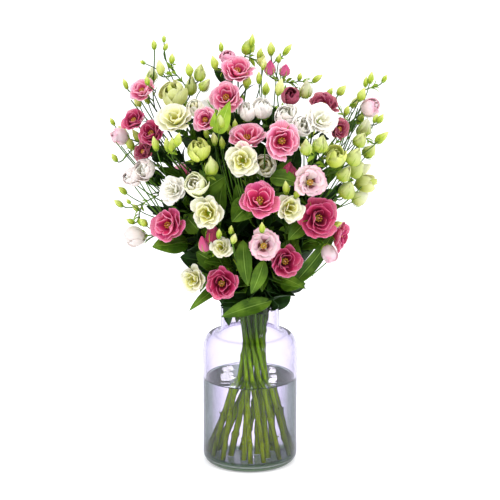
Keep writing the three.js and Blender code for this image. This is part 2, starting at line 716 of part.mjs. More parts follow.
// A leaf turns about its length, and shrinks if it must, until it is clear of other sprays.
function growLeaf(spray, near, tip, width) {
  const { root } = nearestRoot(spray, near, 0, -1);
  const face = new THREE.Vector3(root.x, root.y, 0).normalize().multiplyScalar(LEAF_OUTWARD);
  face.add(new THREE.Vector3(0, LEAF_FORWARD, LEAF_UPWARD)).normalize();
  const ahead = tip.clone().sub(root).normalize();
  const bow = ahead.clone().multiplyScalar(LEAF_BOW_PLACE).addScaledVector(face, LEAF_BOW);
  bow.multiplyScalar(root.distanceTo(tip));
  for (let turn = 0; turn < LEAF_TURNS; turn += 1) {
    const angle = Math.ceil(turn / 2) * (turn % 2 === 0 ? 1 : -1) * LEAF_TURN;
    const turned = face.clone().applyAxisAngle(ahead, angle);
    const control = bow.clone().applyAxisAngle(ahead, angle).add(root);
    const midrib = new THREE.QuadraticBezierCurve3(root, control, tip);
    for (const size of LEAF_SIZES) {
      const balls = bladeBalls(midrib, turned, width * size);
      if (roomAround(balls, spray, 'leaf') > CLEARANCE) {
        balls.forEach(([point, radius]) => stand(spray, 'green', point, radius));
        sprayParts[spray].push(blade(midrib, turned, width * size));
        return;
      }
    }
  }
}

// Vase and water

function arc(from, to, upFirst) {
  const points = [];
  for (let i = 1; i < ARC_STEPS; i += 1) {
    const angle = (Math.PI / 2) * (i / ARC_STEPS);
    const early = Math.sin(angle);
    const late = 1 - Math.cos(angle);
    points.push([
      THREE.MathUtils.lerp(from[0], to[0], upFirst ? late : early),
      THREE.MathUtils.lerp(from[1], to[1], upFirst ? early : late),
    ]);
  }
  return [from, ...points, to];
}

function turned(profile) {
  const outline = profile.map(([radius, height]) => new THREE.Vector2(radius, height));
  return solid(new THREE.LatheGeometry(outline, GLASS_SIDES).rotateX(Math.PI / 2));
}

function shoulder(inset) {
  const low = [BODY_RADIUS - inset, BODY_TOP];
  const turn = SHOULDER_TURN.map((size) => size - inset * SHOULDER_INSET);
  const high = [NECK_RADIUS - inset, NECK_FOOT];
  return [...arc(low, turn, true), ...arc(turn, high, false).slice(1)];
}

function vase() {
  const inside = BODY_RADIUS - GLASS_WALL;
  return turned([
    [0, 0],
    ...arc([BODY_RADIUS - FOOT_CORNER, 0], [BODY_RADIUS, FOOT_CORNER], false),
    ...shoulder(0),
    [NECK_RADIUS, VASE_HEIGHT - RIM_ROUND],
    [NECK_RADIUS - RIM_ROUND, VASE_HEIGHT],
    [NECK_RADIUS - GLASS_WALL, VASE_HEIGHT - RIM_ROUND],
    ...shoulder(GLASS_WALL).reverse(),
    ...arc([inside, GLASS_FLOOR + INNER_CORNER], [inside - INNER_CORNER, GLASS_FLOOR], true),
    [0, GLASS_FLOOR],
  ]);
}

function waterWithHoles(stemLines) {
  const side = BODY_RADIUS - GLASS_WALL - SEAT_GAP;
  const foot = GLASS_FLOOR + SEAT_GAP;
  const full = turned([
    [0, foot],
    ...arc([side - INNER_CORNER, foot], [side, GLASS_FLOOR + INNER_CORNER], false),
    [side, WATER_LEVEL],
    [0, WATER_LEVEL],
  ]);
  return stemLines.map(stemHole).reduce((left, hole) => left.subtract(hole), full);
}

// The bunch grows: stems, then all the heads, their pedicels, the buds and the leaves

const sprayParts = {};
const stemLines = SPRAYS.map(stemCorners);
SPRAYS.forEach(([spray], i) => {
  const corners = stemLines[i];
  sprayParts[spray] = [stem(corners, 0)];
  standLine(spray, alongCorners(corners, (corners.length - 1) * STEM_STAND_STEPS), STEM_RADIUS);
});

const blooms = BLOOMS.map(([node, form, ...place], i) => {
  return { node, ...bloomPlace(`bloom_${i}`, form, ...place) };
});
const halfOpen = HALF_OPEN.map((place, i) => bloomPlace(`half_open_${i}`, 'cupped', ...place));
blooms.forEach(growPedicel);
for (const bloom of halfOpen) {
  growPedicel(bloom);
  const { spray, form, width, height, seat, axis } = bloom;
  const sunk = beyond(seat, axis, -SEAT_GAP - HALF_OPEN_SINK);
  sprayParts[spray].push(bloomSolid(form, width, height, sunk, axis));
}

for (const [spray, px, py, y, length, width, lean] of BUDS) {
  const angle = THREE.MathUtils.degToRad(lean);
  const outward = Math.sign(y) * BUD_OUTWARD;
  const axis = new THREE.Vector3(Math.sin(angle), outward, Math.cos(angle)).normalize();
  const seat = beyond(seen(px, py, y), axis, -length / 2);
  const head = BUD_BALLS.map((along) => [beyond(seat, axis, along * length), width / 2]);
  const root = nearestRoot(spray, seat, TWIG_LEAST, TWIG_TURN);
  const corners = shootLine(root, seat, axis, spray, 'bud', TWIG, head);
  sprayParts[spray].push(buddedTwig(corners, axis, length, width));
  standLine(spray, alongCorners(corners, STAND_STEPS), TWIG.radius);
  head.forEach(([point, radius]) => stand(spray, 'green', point, radius));
}

for (const [spray, px, py, y, rootPx, rootPy, width] of LEAVES) {
  growLeaf(spray, seen(rootPx, rootPy, y / 2), seen(px, py, y), width);
}
for (const [spray, x, y, z, rootX, rootY, rootZ, width] of MOUTH_LEAVES) {
  growLeaf(spray, new THREE.Vector3(rootX, rootY, rootZ), new THREE.Vector3(x, y, z), width);
}

const group = new THREE.Group();
group.add(meshOf('vase', vase(), LOOKS.vase));
group.add(meshOf('water', waterWithHoles(stemLines), LOOKS.water));
for (const [spray, parts] of Object.entries(sprayParts)) {
  group.add(meshOf(spray, fuse(parts), LOOKS.spray));
}
for (const node of new Set(blooms.map((bloom) => bloom.node))) {
  const shapes = blooms
    .filter((bloom) => bloom.node === node)
    .map(({ form, width, height, seat, axis }) => bloomSolid(form, width, height, seat, axis));
  const colour = Object.keys(LOOKS).find((look) => node.includes(look));
  group.add(meshOf(node, fuse(shapes), LOOKS[colour]));
}

export default group;
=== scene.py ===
import math

import bpy
import numpy as np
from mathutils import Matrix, Vector


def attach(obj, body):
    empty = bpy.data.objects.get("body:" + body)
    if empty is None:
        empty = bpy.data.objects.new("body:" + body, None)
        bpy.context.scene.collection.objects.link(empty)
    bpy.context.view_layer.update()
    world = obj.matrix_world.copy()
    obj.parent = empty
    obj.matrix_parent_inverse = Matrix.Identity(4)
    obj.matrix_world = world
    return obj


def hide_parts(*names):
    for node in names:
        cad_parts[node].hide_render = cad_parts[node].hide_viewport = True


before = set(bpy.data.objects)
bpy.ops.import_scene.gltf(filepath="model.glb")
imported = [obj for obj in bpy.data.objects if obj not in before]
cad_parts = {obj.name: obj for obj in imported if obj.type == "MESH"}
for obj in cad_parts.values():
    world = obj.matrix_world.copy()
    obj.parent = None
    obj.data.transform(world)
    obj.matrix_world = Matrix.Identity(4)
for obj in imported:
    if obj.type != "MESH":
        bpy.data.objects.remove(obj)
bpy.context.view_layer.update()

# Camera: a long lens three metres in front of the bunch and just over a metre up, looking down a
# little, so that the rim of the vase and the surface of the water open into flat ellipses.
MM = 0.001
EYE_BACK = 3000
EYE_UP = 1080
EYE_PITCH = math.radians(14.13)
SENSOR = 36.0
VIEW_SIDE = 500
VIEW_MIDDLE = VIEW_SIDE / 2
VIEW_FOCUS = 2098
VIEW_REACH = 60


def linked(name, data):
    """A new object for a mesh, curve, lens or lamp, put in the scene."""
    made = bpy.data.objects.new(name, data)
    bpy.context.collection.objects.link(made)
    return made


lens = bpy.data.cameras.new("long_lens")
lens.sensor_width = SENSOR
lens.lens = VIEW_FOCUS / VIEW_SIDE * SENSOR
lens.clip_end = VIEW_REACH
camera = linked("camera", lens)
camera.location = (0, -EYE_BACK * MM, EYE_UP * MM)
camera.rotation_euler = (math.pi / 2 - EYE_PITCH, 0, 0)
bpy.context.scene.camera = camera


def seen(px, py, y):
    """The point in millimetres that shows at px, py of the view and lies at the depth y."""
    rise = (VIEW_MIDDLE - py) / VIEW_FOCUS
    ahead = math.cos(EYE_PITCH) + math.sin(EYE_PITCH) * rise
    across = (px - VIEW_MIDDLE) / VIEW_FOCUS
    up = math.cos(EYE_PITCH) * rise - math.sin(EYE_PITCH)
    far = (y + EYE_BACK) / ahead
    return np.array((across * far, y, EYE_UP + up * far))


# Vase: a jar of clear soda-lime glass, blown in a mould with a thick foot, straight sides, a round
# shoulder and a fire-polished rim. It stands on its foot and holds the water and the stems.
VASE_HEIGHT = 245
BODY_RADIUS = 70
BODY_TOP = 171
FOOT_CORNER = 13
NECK_RADIUS = 43
NECK_FOOT = 214
SHOULDER_TURN = (57.5, 197.5)
GLASS_WALL = 3.5
GLASS_FLOOR = 8.5
INNER_CORNER = 9
RIM_ROUND = 1.6
SHOULDER_INSET = 0.75
ARC_STEPS = 10
GLASS_SIDES = 96
GLASS_SMOOTH = math.radians(40)
FOOT_FADE = 0.6


def linear(colour):
    """The linear colour of an sRGB hex value."""
    parts = [int(colour[i:i + 2], 16) / 255 for i in (1, 3, 5)]
    return [p / 12.92 if p < 0.04045 else ((p + 0.055) / 1.055) ** 2.4 for p in parts] + [1.0]


def node(tree, kind, values=None, links=None, stops=(), **settings):
    """Adds a node with its settings, its inputs' values and links, and a ramp's colour stops."""
    added = tree.nodes.new(kind)
    for i, (place, colour) in enumerate(stops):
        ends = added.color_ramp.elements
        stop = ends[i] if i < 2 else ends.new(place)
        stop.position, stop.color = place, linear(colour)
    for name, setting in settings.items():
        setattr(added, name, setting)
    for name, value in (values or {}).items():
        added.inputs[name].default_value = value
    for name, socket in (links or {}).items():
        tree.links.new(socket, added.inputs[name])
    return added


def material(name, values, links=None):
    """A material with one Principled shader. links gives a socket for an input by its name."""
    made = bpy.data.materials.new(name)
    made.use_nodes = True
    tree = made.node_tree
    shader = tree.nodes["Principled BSDF"]
    for key, value in values.items():
        shader.inputs[key].default_value = value
    for key, make in (links or {}).items():
        tree.links.new(make(tree), shader.inputs[key])
    return made


def ripple(scale, height, strength):
    """A maker of a faint bump in millimetres, for surfaces that aren't quite even."""
    def make(tree):
        place = node(tree, "ShaderNodeTexCoord").outputs["Object"]
        noise = node(tree, "ShaderNodeTexNoise", {"Scale": scale, "Detail": 1.0}, {"Vector": place})
        bump = node(
            tree, "ShaderNodeBump",
            {"Strength": strength, "Distance": height * MM}, {"Height": noise.outputs["Fac"]},
        )
        return bump.outputs["Normal"]
    return make


def deselect():
    if bpy.context.object and bpy.context.object.mode != "OBJECT":
        bpy.ops.object.mode_set(mode="OBJECT")
    bpy.ops.object.select_all(action="DESELECT")


def arc(start, end, up_first):
    """Points of a quarter round from start to end, both given as radius and height."""
    points = [start]
    for i in range(1, ARC_STEPS):
        angle = math.pi / 2 * i / ARC_STEPS
        early, late = math.sin(angle), 1 - math.cos(angle)
        shares = (late, early) if up_first else (early, late)
        points.append(tuple(a + (b - a) * s for a, b, s in zip(start, end, shares)))
    return points + [end]


def turned(name, profile):
    """A body of revolution: a circle, extruded and resized ring by ring, with both ends filled."""
    deselect()
    radius, height = profile[0]
    bpy.ops.mesh.primitive_circle_add(
        vertices=GLASS_SIDES, radius=radius * MM, location=(0, 0, height * MM)
    )
    body = bpy.context.object
    body.name = name
    bpy.ops.object.transform_apply(location=True)
    bpy.ops.object.mode_set(mode="EDIT")
    for new_radius, new_height in profile[1:]:
        rise = (new_height - height) * MM
        bpy.ops.mesh.extrude_edges_move(TRANSFORM_OT_translate={"value": (0, 0, rise)})
        share = new_radius / radius
        bpy.ops.transform.resize(
            value=(share, share, 1), center_override=(0, 0, new_height * MM)
        )
        radius, height = new_radius, new_height
    bpy.ops.mesh.select_all(action="SELECT")
    bpy.ops.mesh.fill_holes(sides=0)
    bpy.ops.mesh.normals_make_consistent(inside=False)
    bpy.ops.object.mode_set(mode="OBJECT")
    bpy.ops.object.shade_smooth_by_angle(angle=GLASS_SMOOTH)
    return body


def shoulder(inset):
    """The two quarter rounds from the body to the neck, so far inside the outer wall."""
    turn = [size - inset * SHOULDER_INSET for size in SHOULDER_TURN]
    low, high = (BODY_RADIUS - inset, BODY_TOP), (NECK_RADIUS - inset, NECK_FOOT)
    return arc(low, tuple(turn), True) + arc(tuple(turn), high, False)[1:]


def painted_edge_shade_tint(sides, foot, foot_top):
    """A maker of a clear body's colour: it darkens where the wall is seen edge-on, by the stops
    given, as painted shade for the darker surroundings seen through the wall there, and takes the
    foot's colour below a height in millimetres."""
    def make(tree):
        facing = node(tree, "ShaderNodeLayerWeight", {"Blend": 0.5}).outputs["Facing"]
        wall = node(tree, "ShaderNodeValToRGB", stops=sides, links={"Fac": facing})
        place = node(tree, "ShaderNodeTexCoord").outputs["Object"]
        high = node(tree, "ShaderNodeSeparateXYZ", links={0: place}).outputs["Z"]
        low = node(
            tree, "ShaderNodeMapRange", {1: foot_top * MM, 2: foot_top * MM * FOOT_FADE}, {0: high}
        )
        return node(
            tree, "ShaderNodeMix", {7: linear(foot)},
            {0: low.outputs[0], 6: wall.outputs["Color"]}, data_type="RGBA",
        ).outputs[2]
    return make


# Soda-lime glass: clear, with painted shade that turns it greyish lavender where its wall is seen
# edge-on, for the darker surroundings seen through it there; a dark green foot that is partly the
# green cast of thick glass and partly painted reflection of the stems and shade above it; and
# slightly uneven from the mould.
glass = material(
    "soda_lime_glass",
    {
        "Roughness": 0.0, "IOR": 1.5, "Transmission Weight": 1.0,
        "Specular Tint": (0.2, 0.2, 0.21, 1), "Coat Weight": 1.0, "Coat IOR": 1.0,
        "Coat Tint": (0.955, 0.953, 0.968, 1),
    },
    {
        "Base Color": painted_edge_shade_tint(
            [(0.0, "#faf7fc"), (0.45, "#f4f0fa"), (0.7, "#dedaee"), (0.95, "#bcb8d0")],
            foot="#7c9c72", foot_top=12,
        ),
        "Normal": ripple(scale=14, height=1.0, strength=0.15),
    },
)

inside = BODY_RADIUS - GLASS_WALL
vase = turned("glass_jar_vase", [
    *arc((BODY_RADIUS - FOOT_CORNER, 0), (BODY_RADIUS, FOOT_CORNER), False),
    *shoulder(0),
    (NECK_RADIUS, VASE_HEIGHT - RIM_ROUND),
    *arc((NECK_RADIUS, VASE_HEIGHT - RIM_ROUND), (NECK_RADIUS - RIM_ROUND, VASE_HEIGHT), True)[1:],
    (NECK_RADIUS - GLASS_WALL, VASE_HEIGHT - RIM_ROUND),
    *shoulder(GLASS_WALL)[::-1],
    *arc((inside, GLASS_FLOOR + INNER_CORNER), (inside - INNER_CORNER, GLASS_FLOOR), True),
])
vase.data.materials.append(glass)
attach(vase, "root")
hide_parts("vase")

# Water: it half fills the vase and wets the glass, so it meets the wall with no gap and climbs it
# a little at the surface. Its foot rests on the vase's thick glass floor.
WATER_LEVEL = 132
WETTING = 0.15
MENISCUS = 2.0

# Tap water: clear with a weak green-grey cast, pale green where it is seen at a glancing angle,
# with painted shade in a dark grey-green band where its wall is seen edge-on, for the darker
# surroundings seen through it there, and a surface that the stems disturb a little.
water_look = material(
    "still_water",
    {
        "Roughness": 0.0, "IOR": 1.333, "Transmission Weight": 1.0,
        "Specular Tint": (0.6, 0.6, 0.6, 1),
    },
    {
        "Base Color": painted_edge_shade_tint(
            [
                (0.0, "#f9f6fe"), (0.07, "#eeeaf8"), (0.13, "#acaeb8"), (0.19, "#6a7c6c"),
                (0.25, "#3c5842"), (0.5, "#d0f2d4"), (0.8, "#c6e8ca"),
            ],
            foot="#c4d0c2", foot_top=14,
        ),
        "Normal": ripple(scale=30, height=1.0, strength=0.5),
    },
)
wet = inside + WETTING
water = turned("water_fill", [
    *arc((wet - INNER_CORNER, GLASS_FLOOR - WETTING), (wet, GLASS_FLOOR + INNER_CORNER), False),
    *arc((wet, WATER_LEVEL), (wet - MENISCUS, WATER_LEVEL - MENISCUS), False),
])
water.data.materials.append(water_look)
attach(water, "root")
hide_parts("water")

# Stems: the straight green stalks of the bunch, cut square and stood in the water. They cross in a
# narrow waist as a hand-gathered sheaf does, so their feet spread on the glass floor.
# Name, view point of the fork and its depth, the ring that the stem stands in, and where it
# passes the waist and meets the floor (bearings in degrees from the front to the right).
SPRAYS = [
    ("spray_front", 262, 268, -46, "outer", 25, 88),
    ("spray_right_low", 284, 246, -47, "outer", 58, 121),
    ("spray_right", 303, 218, -18, "outer", 90, 154),
    ("spray_right_high", 305, 180, 4, "outer", 123, 188),
    ("spray_back_right", 275, 215, 48, "outer", 156, 221),
    ("spray_back_left", 222, 215, 48, "outer", 188, 252),
    ("spray_left_high", 196, 190, 8, "outer", 221, 281),
    ("spray_left", 194, 218, -12, "outer", 254, 309),
    ("spray_left_low", 203, 240, -40, "outer", 287, 361),
    ("spray_left_front", 217, 228, -60, "outer", 319, 24),
    ("spray_low_left", 236, 272, -48, "outer", 352, 56),
    ("spray_middle", 258, 205, -42, "inner", 10, 70),
    ("spray_top_right", 272, 140, -8, "inner", 100, 160),
    ("spray_top", 240, 130, 8, "inner", 190, 250),
    ("spray_top_left", 218, 158, -14, "inner", 280, 340),
]
WAIST_HEIGHT = 180
WAIST_SHIFT = 6
WAIST_RADIUS = {"outer": 14, "inner": 5.2}
FOOT_RADIUS = {"outer": 46, "inner": 22}
FOOT_HEIGHT = 9.7
MOUTH_HEIGHT = 255
STEM_RADIUS = 2.7
STEM_TOP_RADIUS = 1.9
STEM_HIGH_STEPS = 4
STEM_LEAN = 0.34
STEM_STAND_STEPS = 12
STEM_FULLNESS = (1.3, 1.0)
STRAIGHT_RINGS = 30
BENT_RINGS = 36
NODE_SPACING = 44
NODE_LENGTH = 3.2
NODE_SWELLING = 0.34
FIRST_NODE = (0.4, 0.5)
NODE_CYCLE = 7
SLIMMING = 3
CUT_TAPER = 0.5
STUB_HIGHEST = 110
STUB_LIFT = 38
STUB_LENGTH = 7
STUB_RADII = (1.5, 1.3, 1.1, 0.7)
STUB_TURNS = (3, 137)


def unit(way):
    return way / np.linalg.norm(way)


def facing(bearing, lift):
    """The way at a bearing, counted from the front to the right, and a lift, both in degrees."""
    a, b = math.radians(bearing), math.radians(lift)
    return np.array((math.sin(a) * math.cos(b), -math.cos(a) * math.cos(b), math.sin(b)))


def on_ring(radius, bearing, height):
    return facing(bearing, 0) * radius + np.array((0, 0, height))


def cubic(points, share):
    """Points of the cubic curve that four points guide."""
    t = np.atleast_1d(share)[:, None]
    a, b, c, d = points
    return a * (1 - t) ** 3 + 3 * b * t * (1 - t) ** 2 + 3 * c * t ** 2 * (1 - t) + d * t ** 3


def swept(points, count):
    """The cubic curve that four points guide, in even steps."""
    return cubic(points, np.linspace(0, 1, count + 1))


def straight(start, end, count):
    """The straight line between two points, in even steps."""
    return start + (end - start) * np.linspace(0, 1, count + 1)[:, None]


def along_corners(corners, count):
    """Evenly shared points on the straight pieces that join a line's corners."""
    steps = len(corners) - 1
    step = np.linspace(0, steps, count + 1)
    low = np.minimum(step.astype(int), steps - 1)
    share = (step - low)[:, None]
    return corners[low] * (1 - share) + corners[low + 1] * share


# What already stands, as balls, so that a new shoot can bend clear of it. Each spray keeps its
# lines to branch from: the plain corners that the routing uses, and the smooth line that shows.
standing = []
lines = {}
tubes = {}


def stand(spray, owner, points, radius):
    standing.extend((spray, owner, point, radius) for point in points)


def stand_line(spray, points, smooth, radius):
    lines.setdefault(spray, []).append((points, smooth))
    stand(spray, "green", points, radius)


def others_of(spray, owner):
    """The places and radii of all the balls that aren't the shoot's own."""
    kept = [
        (point, radius) for its_spray, its_owner, point, radius in standing
        if its_owner != owner and not (its_owner == "green" and its_spray == spray)
    ]
    return np.array([p for p, _ in kept]), np.array([r for _, r in kept])


def room_around(points, radii, others):
    """The least room between balls at the points and the others, less than zero if they meet."""
    places, sizes = others
    apart = np.linalg.norm(places[None] - points[:, None], axis=2)
    return (apart - sizes[None] - radii[:, None]).min()


for spray, px, py, y, ring, waist_bearing, foot_bearing in SPRAYS:
    waist = on_ring(WAIST_RADIUS[ring], waist_bearing, WAIST_HEIGHT) + (WAIST_SHIFT, 0, 0)
    foot = on_ring(FOOT_RADIUS[ring], foot_bearing, FOOT_HEIGHT)
    fork = seen(px, py, y)
    spread = unit(fork - (WAIST_SHIFT, 0, MOUTH_HEIGHT))
    reach = np.linalg.norm(fork - waist) * STEM_LEAN
    bend = [waist, waist + unit(waist - foot) * reach, fork - spread * reach, fork]
    high = swept(bend, STEM_HIGH_STEPS)
    plain = along_corners(np.vstack(([foot], high)), (STEM_HIGH_STEPS + 1) * STEM_STAND_STEPS)
    upright = straight(foot, waist, STEM_STAND_STEPS)
    curved = swept(bend, STEM_HIGH_STEPS * STEM_STAND_STEPS)
    stand_line(spray, plain, np.vstack((upright, curved[1:])), STEM_RADIUS)

    shown = np.vstack((straight(foot, waist, STRAIGHT_RINGS), swept(bend, BENT_RINGS)[1:]))
    rise = shown[:, 2] - FOOT_HEIGHT
    taper = np.clip(np.arange(len(shown)) - STRAIGHT_RINGS, 0, None) / BENT_RINGS
    # Its nodes lie higher or lower than its neighbour's.
    turn = (foot_bearing % NODE_CYCLE) / NODE_CYCLE
    first_node = NODE_SPACING * (FIRST_NODE[0] + FIRST_NODE[1] * turn)
    off = (rise - first_node + NODE_SPACING / 2) % NODE_SPACING - NODE_SPACING / 2
    swelling = NODE_SWELLING * np.exp(-(off / NODE_LENGTH) ** 2)
    radii = (STEM_RADIUS + (STEM_TOP_RADIUS - STEM_RADIUS) * taper) * (1 + swelling)
    # A stem is fuller below its waist, and slims over the first third of its bend.
    thick, slim = STEM_FULLNESS
    radii *= thick + (slim - thick) * np.minimum(SLIMMING * taper, 1)
    radii[-1] *= CUT_TAPER
    tubes[spray] = [(shown, radii)]
    # Below the water's surface each node keeps the stub of a side shoot that was trimmed off.
    for i, height in enumerate(np.arange(first_node, STUB_HIGHEST, NODE_SPACING)):
        root = foot + (waist - foot) * height / (waist[2] - foot[2])
        side = facing(foot_bearing * STUB_TURNS[0] + STUB_TURNS[1] * i, STUB_LIFT)
        stub = root + side * np.linspace(0, STUB_LENGTH, len(STUB_RADII))[:, None]
        tubes[spray].append((stub, np.array(STUB_RADII)))

# Flower stalks: each flower of a spray leaves its stem on a slim pedicel that bends clear of its
# neighbours and opens into a calyx of narrow pointed sepals. Each flower looks its own way.
# Node, form, spray, view point, depth, width, height, bearing and lift of the way it faces.
BLOOMS = [
    ("cream_bloom_1", "open", "spray_low_left", 191, 280, -84, 42, 22, -32, 4),
    ("crimson_bloom_1", "open", "spray_low_left", 221, 284, -108, 48, 24, -8, 8),
    ("crimson_bloom_2", "open", "spray_front", 287, 262, -98, 50, 24, 22, 6),
    ("blush_bloom_1", "open", "spray_front", 264, 246, -132, 47, 20, 4, 12),
    ("cream_bloom_2", "open", "spray_low_left", 221, 247, -112, 32, 18, -8, 22),
    ("pink_bloom_1", "open", "spray_left_low", 165, 225, -86, 50, 24, -30, 12),
    ("cream_bloom_3", "open", "spray_left_front", 206, 213, -124, 49, 24, -14, 14),
    ("pink_bloom_2", "open", "spray_middle", 260, 198, -140, 54, 25, 4, 34),
    ("cream_bloom_4", "open", "spray_right_low", 291, 208, -125, 42, 24, 15, 18),
    ("crimson_bloom_3", "open", "spray_right_low", 321, 218, -98, 56, 25, 24, 14),
    ("crimson_bloom_4", "open", "spray_right_low", 345, 238, -56, 42, 22, 74, -8),
    ("blush_bloom_2", "closed", "spray_right_low", 332, 259, -80, 28, 28, 40, -48),
    ("white_bloom_1", "closed", "spray_left_low", 129, 238, -46, 31, 31, -82, -6),
    ("blush_bloom_3", "open", "spray_right", 311, 182, -118, 46, 18, 14, 16),
    ("white_bloom_2", "open", "spray_left_low", 171, 190, -88, 41, 25, -24, 16),
    ("cream_bloom_5", "cupped", "spray_left_front", 195, 183, -112, 38, 30, -14, 30),
    ("white_bloom_3", "cupped", "spray_left", 142, 169, -64, 34, 28, -34, 14),
    ("white_bloom_3", "closed", "spray_left", 128, 177, -60, 30, 26, -50, 8),
    ("maroon_bloom_1", "open", "spray_left_high", 141, 151, -44, 30, 18, -36, 20),
    ("pink_bloom_3", "open", "spray_middle", 247, 133, -94, 54, 25, 0, 62),
    ("pink_bloom_4", "open", "spray_middle", 283, 141, -124, 52, 24, 12, 10),
    ("cream_bloom_6", "open", "spray_middle", 242, 160, -122, 48, 22, -4, 14),
    ("white_bloom_4", "cupped", "spray_middle", 265, 165, -84, 36, 28, 4, 20),
    ("blush_bloom_4", "closed", "spray_left_high", 114, 136, -14, 29, 27, -78, 14),
    ("crimson_bloom_5", "open", "spray_left_high", 132, 118, -25, 39, 18, -40, 46),
    ("crimson_bloom_6", "open", "spray_left_high", 149, 131, -48, 43, 22, -32, 38),
    ("white_bloom_5", "open", "spray_top_left", 174, 115, -82, 53, 26, -16, 48),
    ("white_bloom_5", "closed", "spray_top_left", 194, 104, -70, 28, 24, -10, 40),
    ("pink_bloom_5", "open", "spray_left_high", 140, 88, -20, 38, 20, -36, 44),
    ("pink_bloom_6", "open", "spray_top", 237, 67, -24, 50, 24, -4, 52),
    ("pink_bloom_6", "closed", "spray_top", 228, 54, 2, 28, 18, -10, 60),
    ("pink_bloom_7", "open", "spray_top", 225, 95, -58, 48, 24, -14, 34),
    ("pink_bloom_8", "open", "spray_top_left", 204, 119, -96, 35, 20, -16, 20),
    ("white_bloom_6", "closed", "spray_top", 247, 107, -57, 29, 30, -2, 58),
    ("white_bloom_6", "closed", "spray_top_right", 263, 104, -58, 31, 32, 4, 58),
    ("white_bloom_7", "cupped", "spray_top_right", 286, 113, -86, 37, 32, 8, 36),
    ("white_bloom_7", "cupped", "spray_top_right", 303, 124, -89, 33, 28, 14, 30),
    ("white_bloom_7", "open", "spray_right_high", 323, 118, -86, 48, 26, 20, 26),
    ("maroon_bloom_2", "closed", "spray_top_right", 291, 93, -44, 30, 26, 8, 40),
    ("maroon_bloom_3", "open", "spray_top_right", 325, 103, -44, 46, 22, 20, 44),
    ("maroon_bloom_4", "open", "spray_right_high", 342, 129, -66, 34, 20, 42, 8),
    ("blush_bloom_5", "closed", "spray_right_high", 375, 105, -4, 31, 28, 66, 34),
    ("back_pink_bloom", "open", "spray_back_left", 176, 176, 92, 50, 24, -128, 22),
    ("back_white_blooms", "open", "spray_back_left", 234, 112, 112, 48, 24, 175, 42),
    ("back_white_blooms", "open", "spray_back_left", 214, 102, 106, 42, 22, -168, 46),
    ("back_crimson_bloom", "open", "spray_back_right", 290, 124, 100, 50, 24, 148, 34),
    ("back_cream_blooms", "open", "spray_back_left", 214, 206, 134, 48, 24, -160, 12),
    ("back_cream_blooms", "open", "spray_back_left", 194, 198, 126, 44, 22, -150, 12),
    ("back_blush_bloom", "open", "spray_back_right", 258, 168, 146, 48, 20, 172, 18),
    ("back_pink_blooms", "open", "spray_back_right", 244, 240, 122, 50, 24, 178, 0),
    ("back_pink_blooms", "open", "spray_back_right", 266, 243, 116, 44, 22, 166, -2),
    ("back_maroon_bloom", "open", "spray_back_right", 312, 184, 96, 46, 22, 126, 14),
]
# Half-open flowers: spray, view point, depth, width, height, bearing and lift.
HALF_OPEN = [
    ("spray_left_front", 197, 145, -92, 34, 32, -14, 52),
    ("spray_top_left", 172, 88, -34, 42, 38, -14, 56),
    ("spray_right_high", 338, 153, -90, 33, 33, 26, 46),
    ("spray_right", 373, 182, -22, 30, 32, 78, 12),
]
BALLS = {
    "open": [(0.66, 0.96), (0.28, 0.5)],
    "cupped": [(0.7, 1.02), (0.38, 0.88)],
    "closed": [(0.72, 1.02), (0.4, 0.92)],
}
FACE_HEIGHT = 0.8
SEAT_GAP = 0.3
HALF_OPEN_SINK = 0.6
PEDICEL = {"radius": 1.35, "tip": 1.1, "steps": 3, "rings": 18}
BRANCH_SPACING = 16
BRANCH_FIRST = 1
STAND_STEPS = 30
CLEARANCE = 0.5
BEND_TURNS = 8
BEND_RINGS = 5
BEND_STEP = 0.11
BEND_ROOT = 0.8
REACH_START = 0.3
REACH_END = 0.34
TEST_STEPS = 14
TEST_FIRST = 2


def bloom_place(node_name, owner, form, spray, px, py, y, width, height, bearing, lift):
    """A flower's seat and axis from the point that its face shows at. Its balls then stand."""
    axis = facing(bearing, lift)
    seat = seen(px, py, y) - axis * FACE_HEIGHT * height
    for up, size in BALLS[form]:
        stand(spray, owner, [seat + axis * up * height], size * width / 2)
    return {
        "node": node_name, "owner": owner, "form": form, "spray": spray, "width": width,
        "height": height, "seat": seat, "axis": axis,
    }


def bent_ways(length, ahead):
    """The ways aside that a shoot tries, from none outwards."""
    across = unit(np.cross((0, 0, 1), ahead))
    over = np.cross(ahead, across)
    ways = [np.zeros(3)]
    for ring in range(1, BEND_RINGS + 1):
        for turn in range(BEND_TURNS):
            angle = 2 * math.pi * turn / BEND_TURNS
            size = ring * BEND_STEP * length
            ways.append(across * math.cos(angle) * size + over * math.sin(angle) * size)
    return ways


def shoot_line(root, ahead, seat, axis, others, shoot, head):
    """The guide points of a shoot that leaves along its host and arrives along a flower's axis."""
    length = np.linalg.norm(seat - root)
    straight = unit(seat - root)
    leave = unit(ahead + straight)
    best, best_room = None, -math.inf
    for way in bent_ways(length, straight):
        guide = [
            root, root + leave * length * REACH_START + way * BEND_ROOT,
            seat - axis * length * REACH_END + way, seat,
        ]
        points = along_corners(swept(guide, shoot["steps"]), TEST_STEPS)[TEST_FIRST:]
        radii = np.full(len(points), shoot["radius"])
        if head:
            points = np.vstack((points, [p for p, _ in head]))
            radii = np.append(radii, [r for _, r in head])
        room = room_around(points, radii, others)
        if room > best_room:
            best, best_room = guide, room
        if room >= CLEARANCE:
            break
    return best


def grow_shoot(spray, root, ahead, smooth_root, seat, axis, owner, shoot, head):
    """Routes a shoot, keeps its line, and adds the smooth tube that shows."""
    guide = shoot_line(root, ahead, seat, axis, others_of(spray, owner), shoot, head)
    shift = smooth_root - root
    shown = [guide[0] + shift, guide[1] + shift, guide[2], guide[3]]
    plain = along_corners(swept(guide, shoot["steps"]), STAND_STEPS)
    smooth = swept(shown, STAND_STEPS)
    stand_line(spray, plain, smooth, shoot["radius"])
    radii = np.linspace(shoot["radius"], shoot["tip"], shoot["rings"] + 1)
    tubes[spray].append((swept(shown, shoot["rings"]), radii))


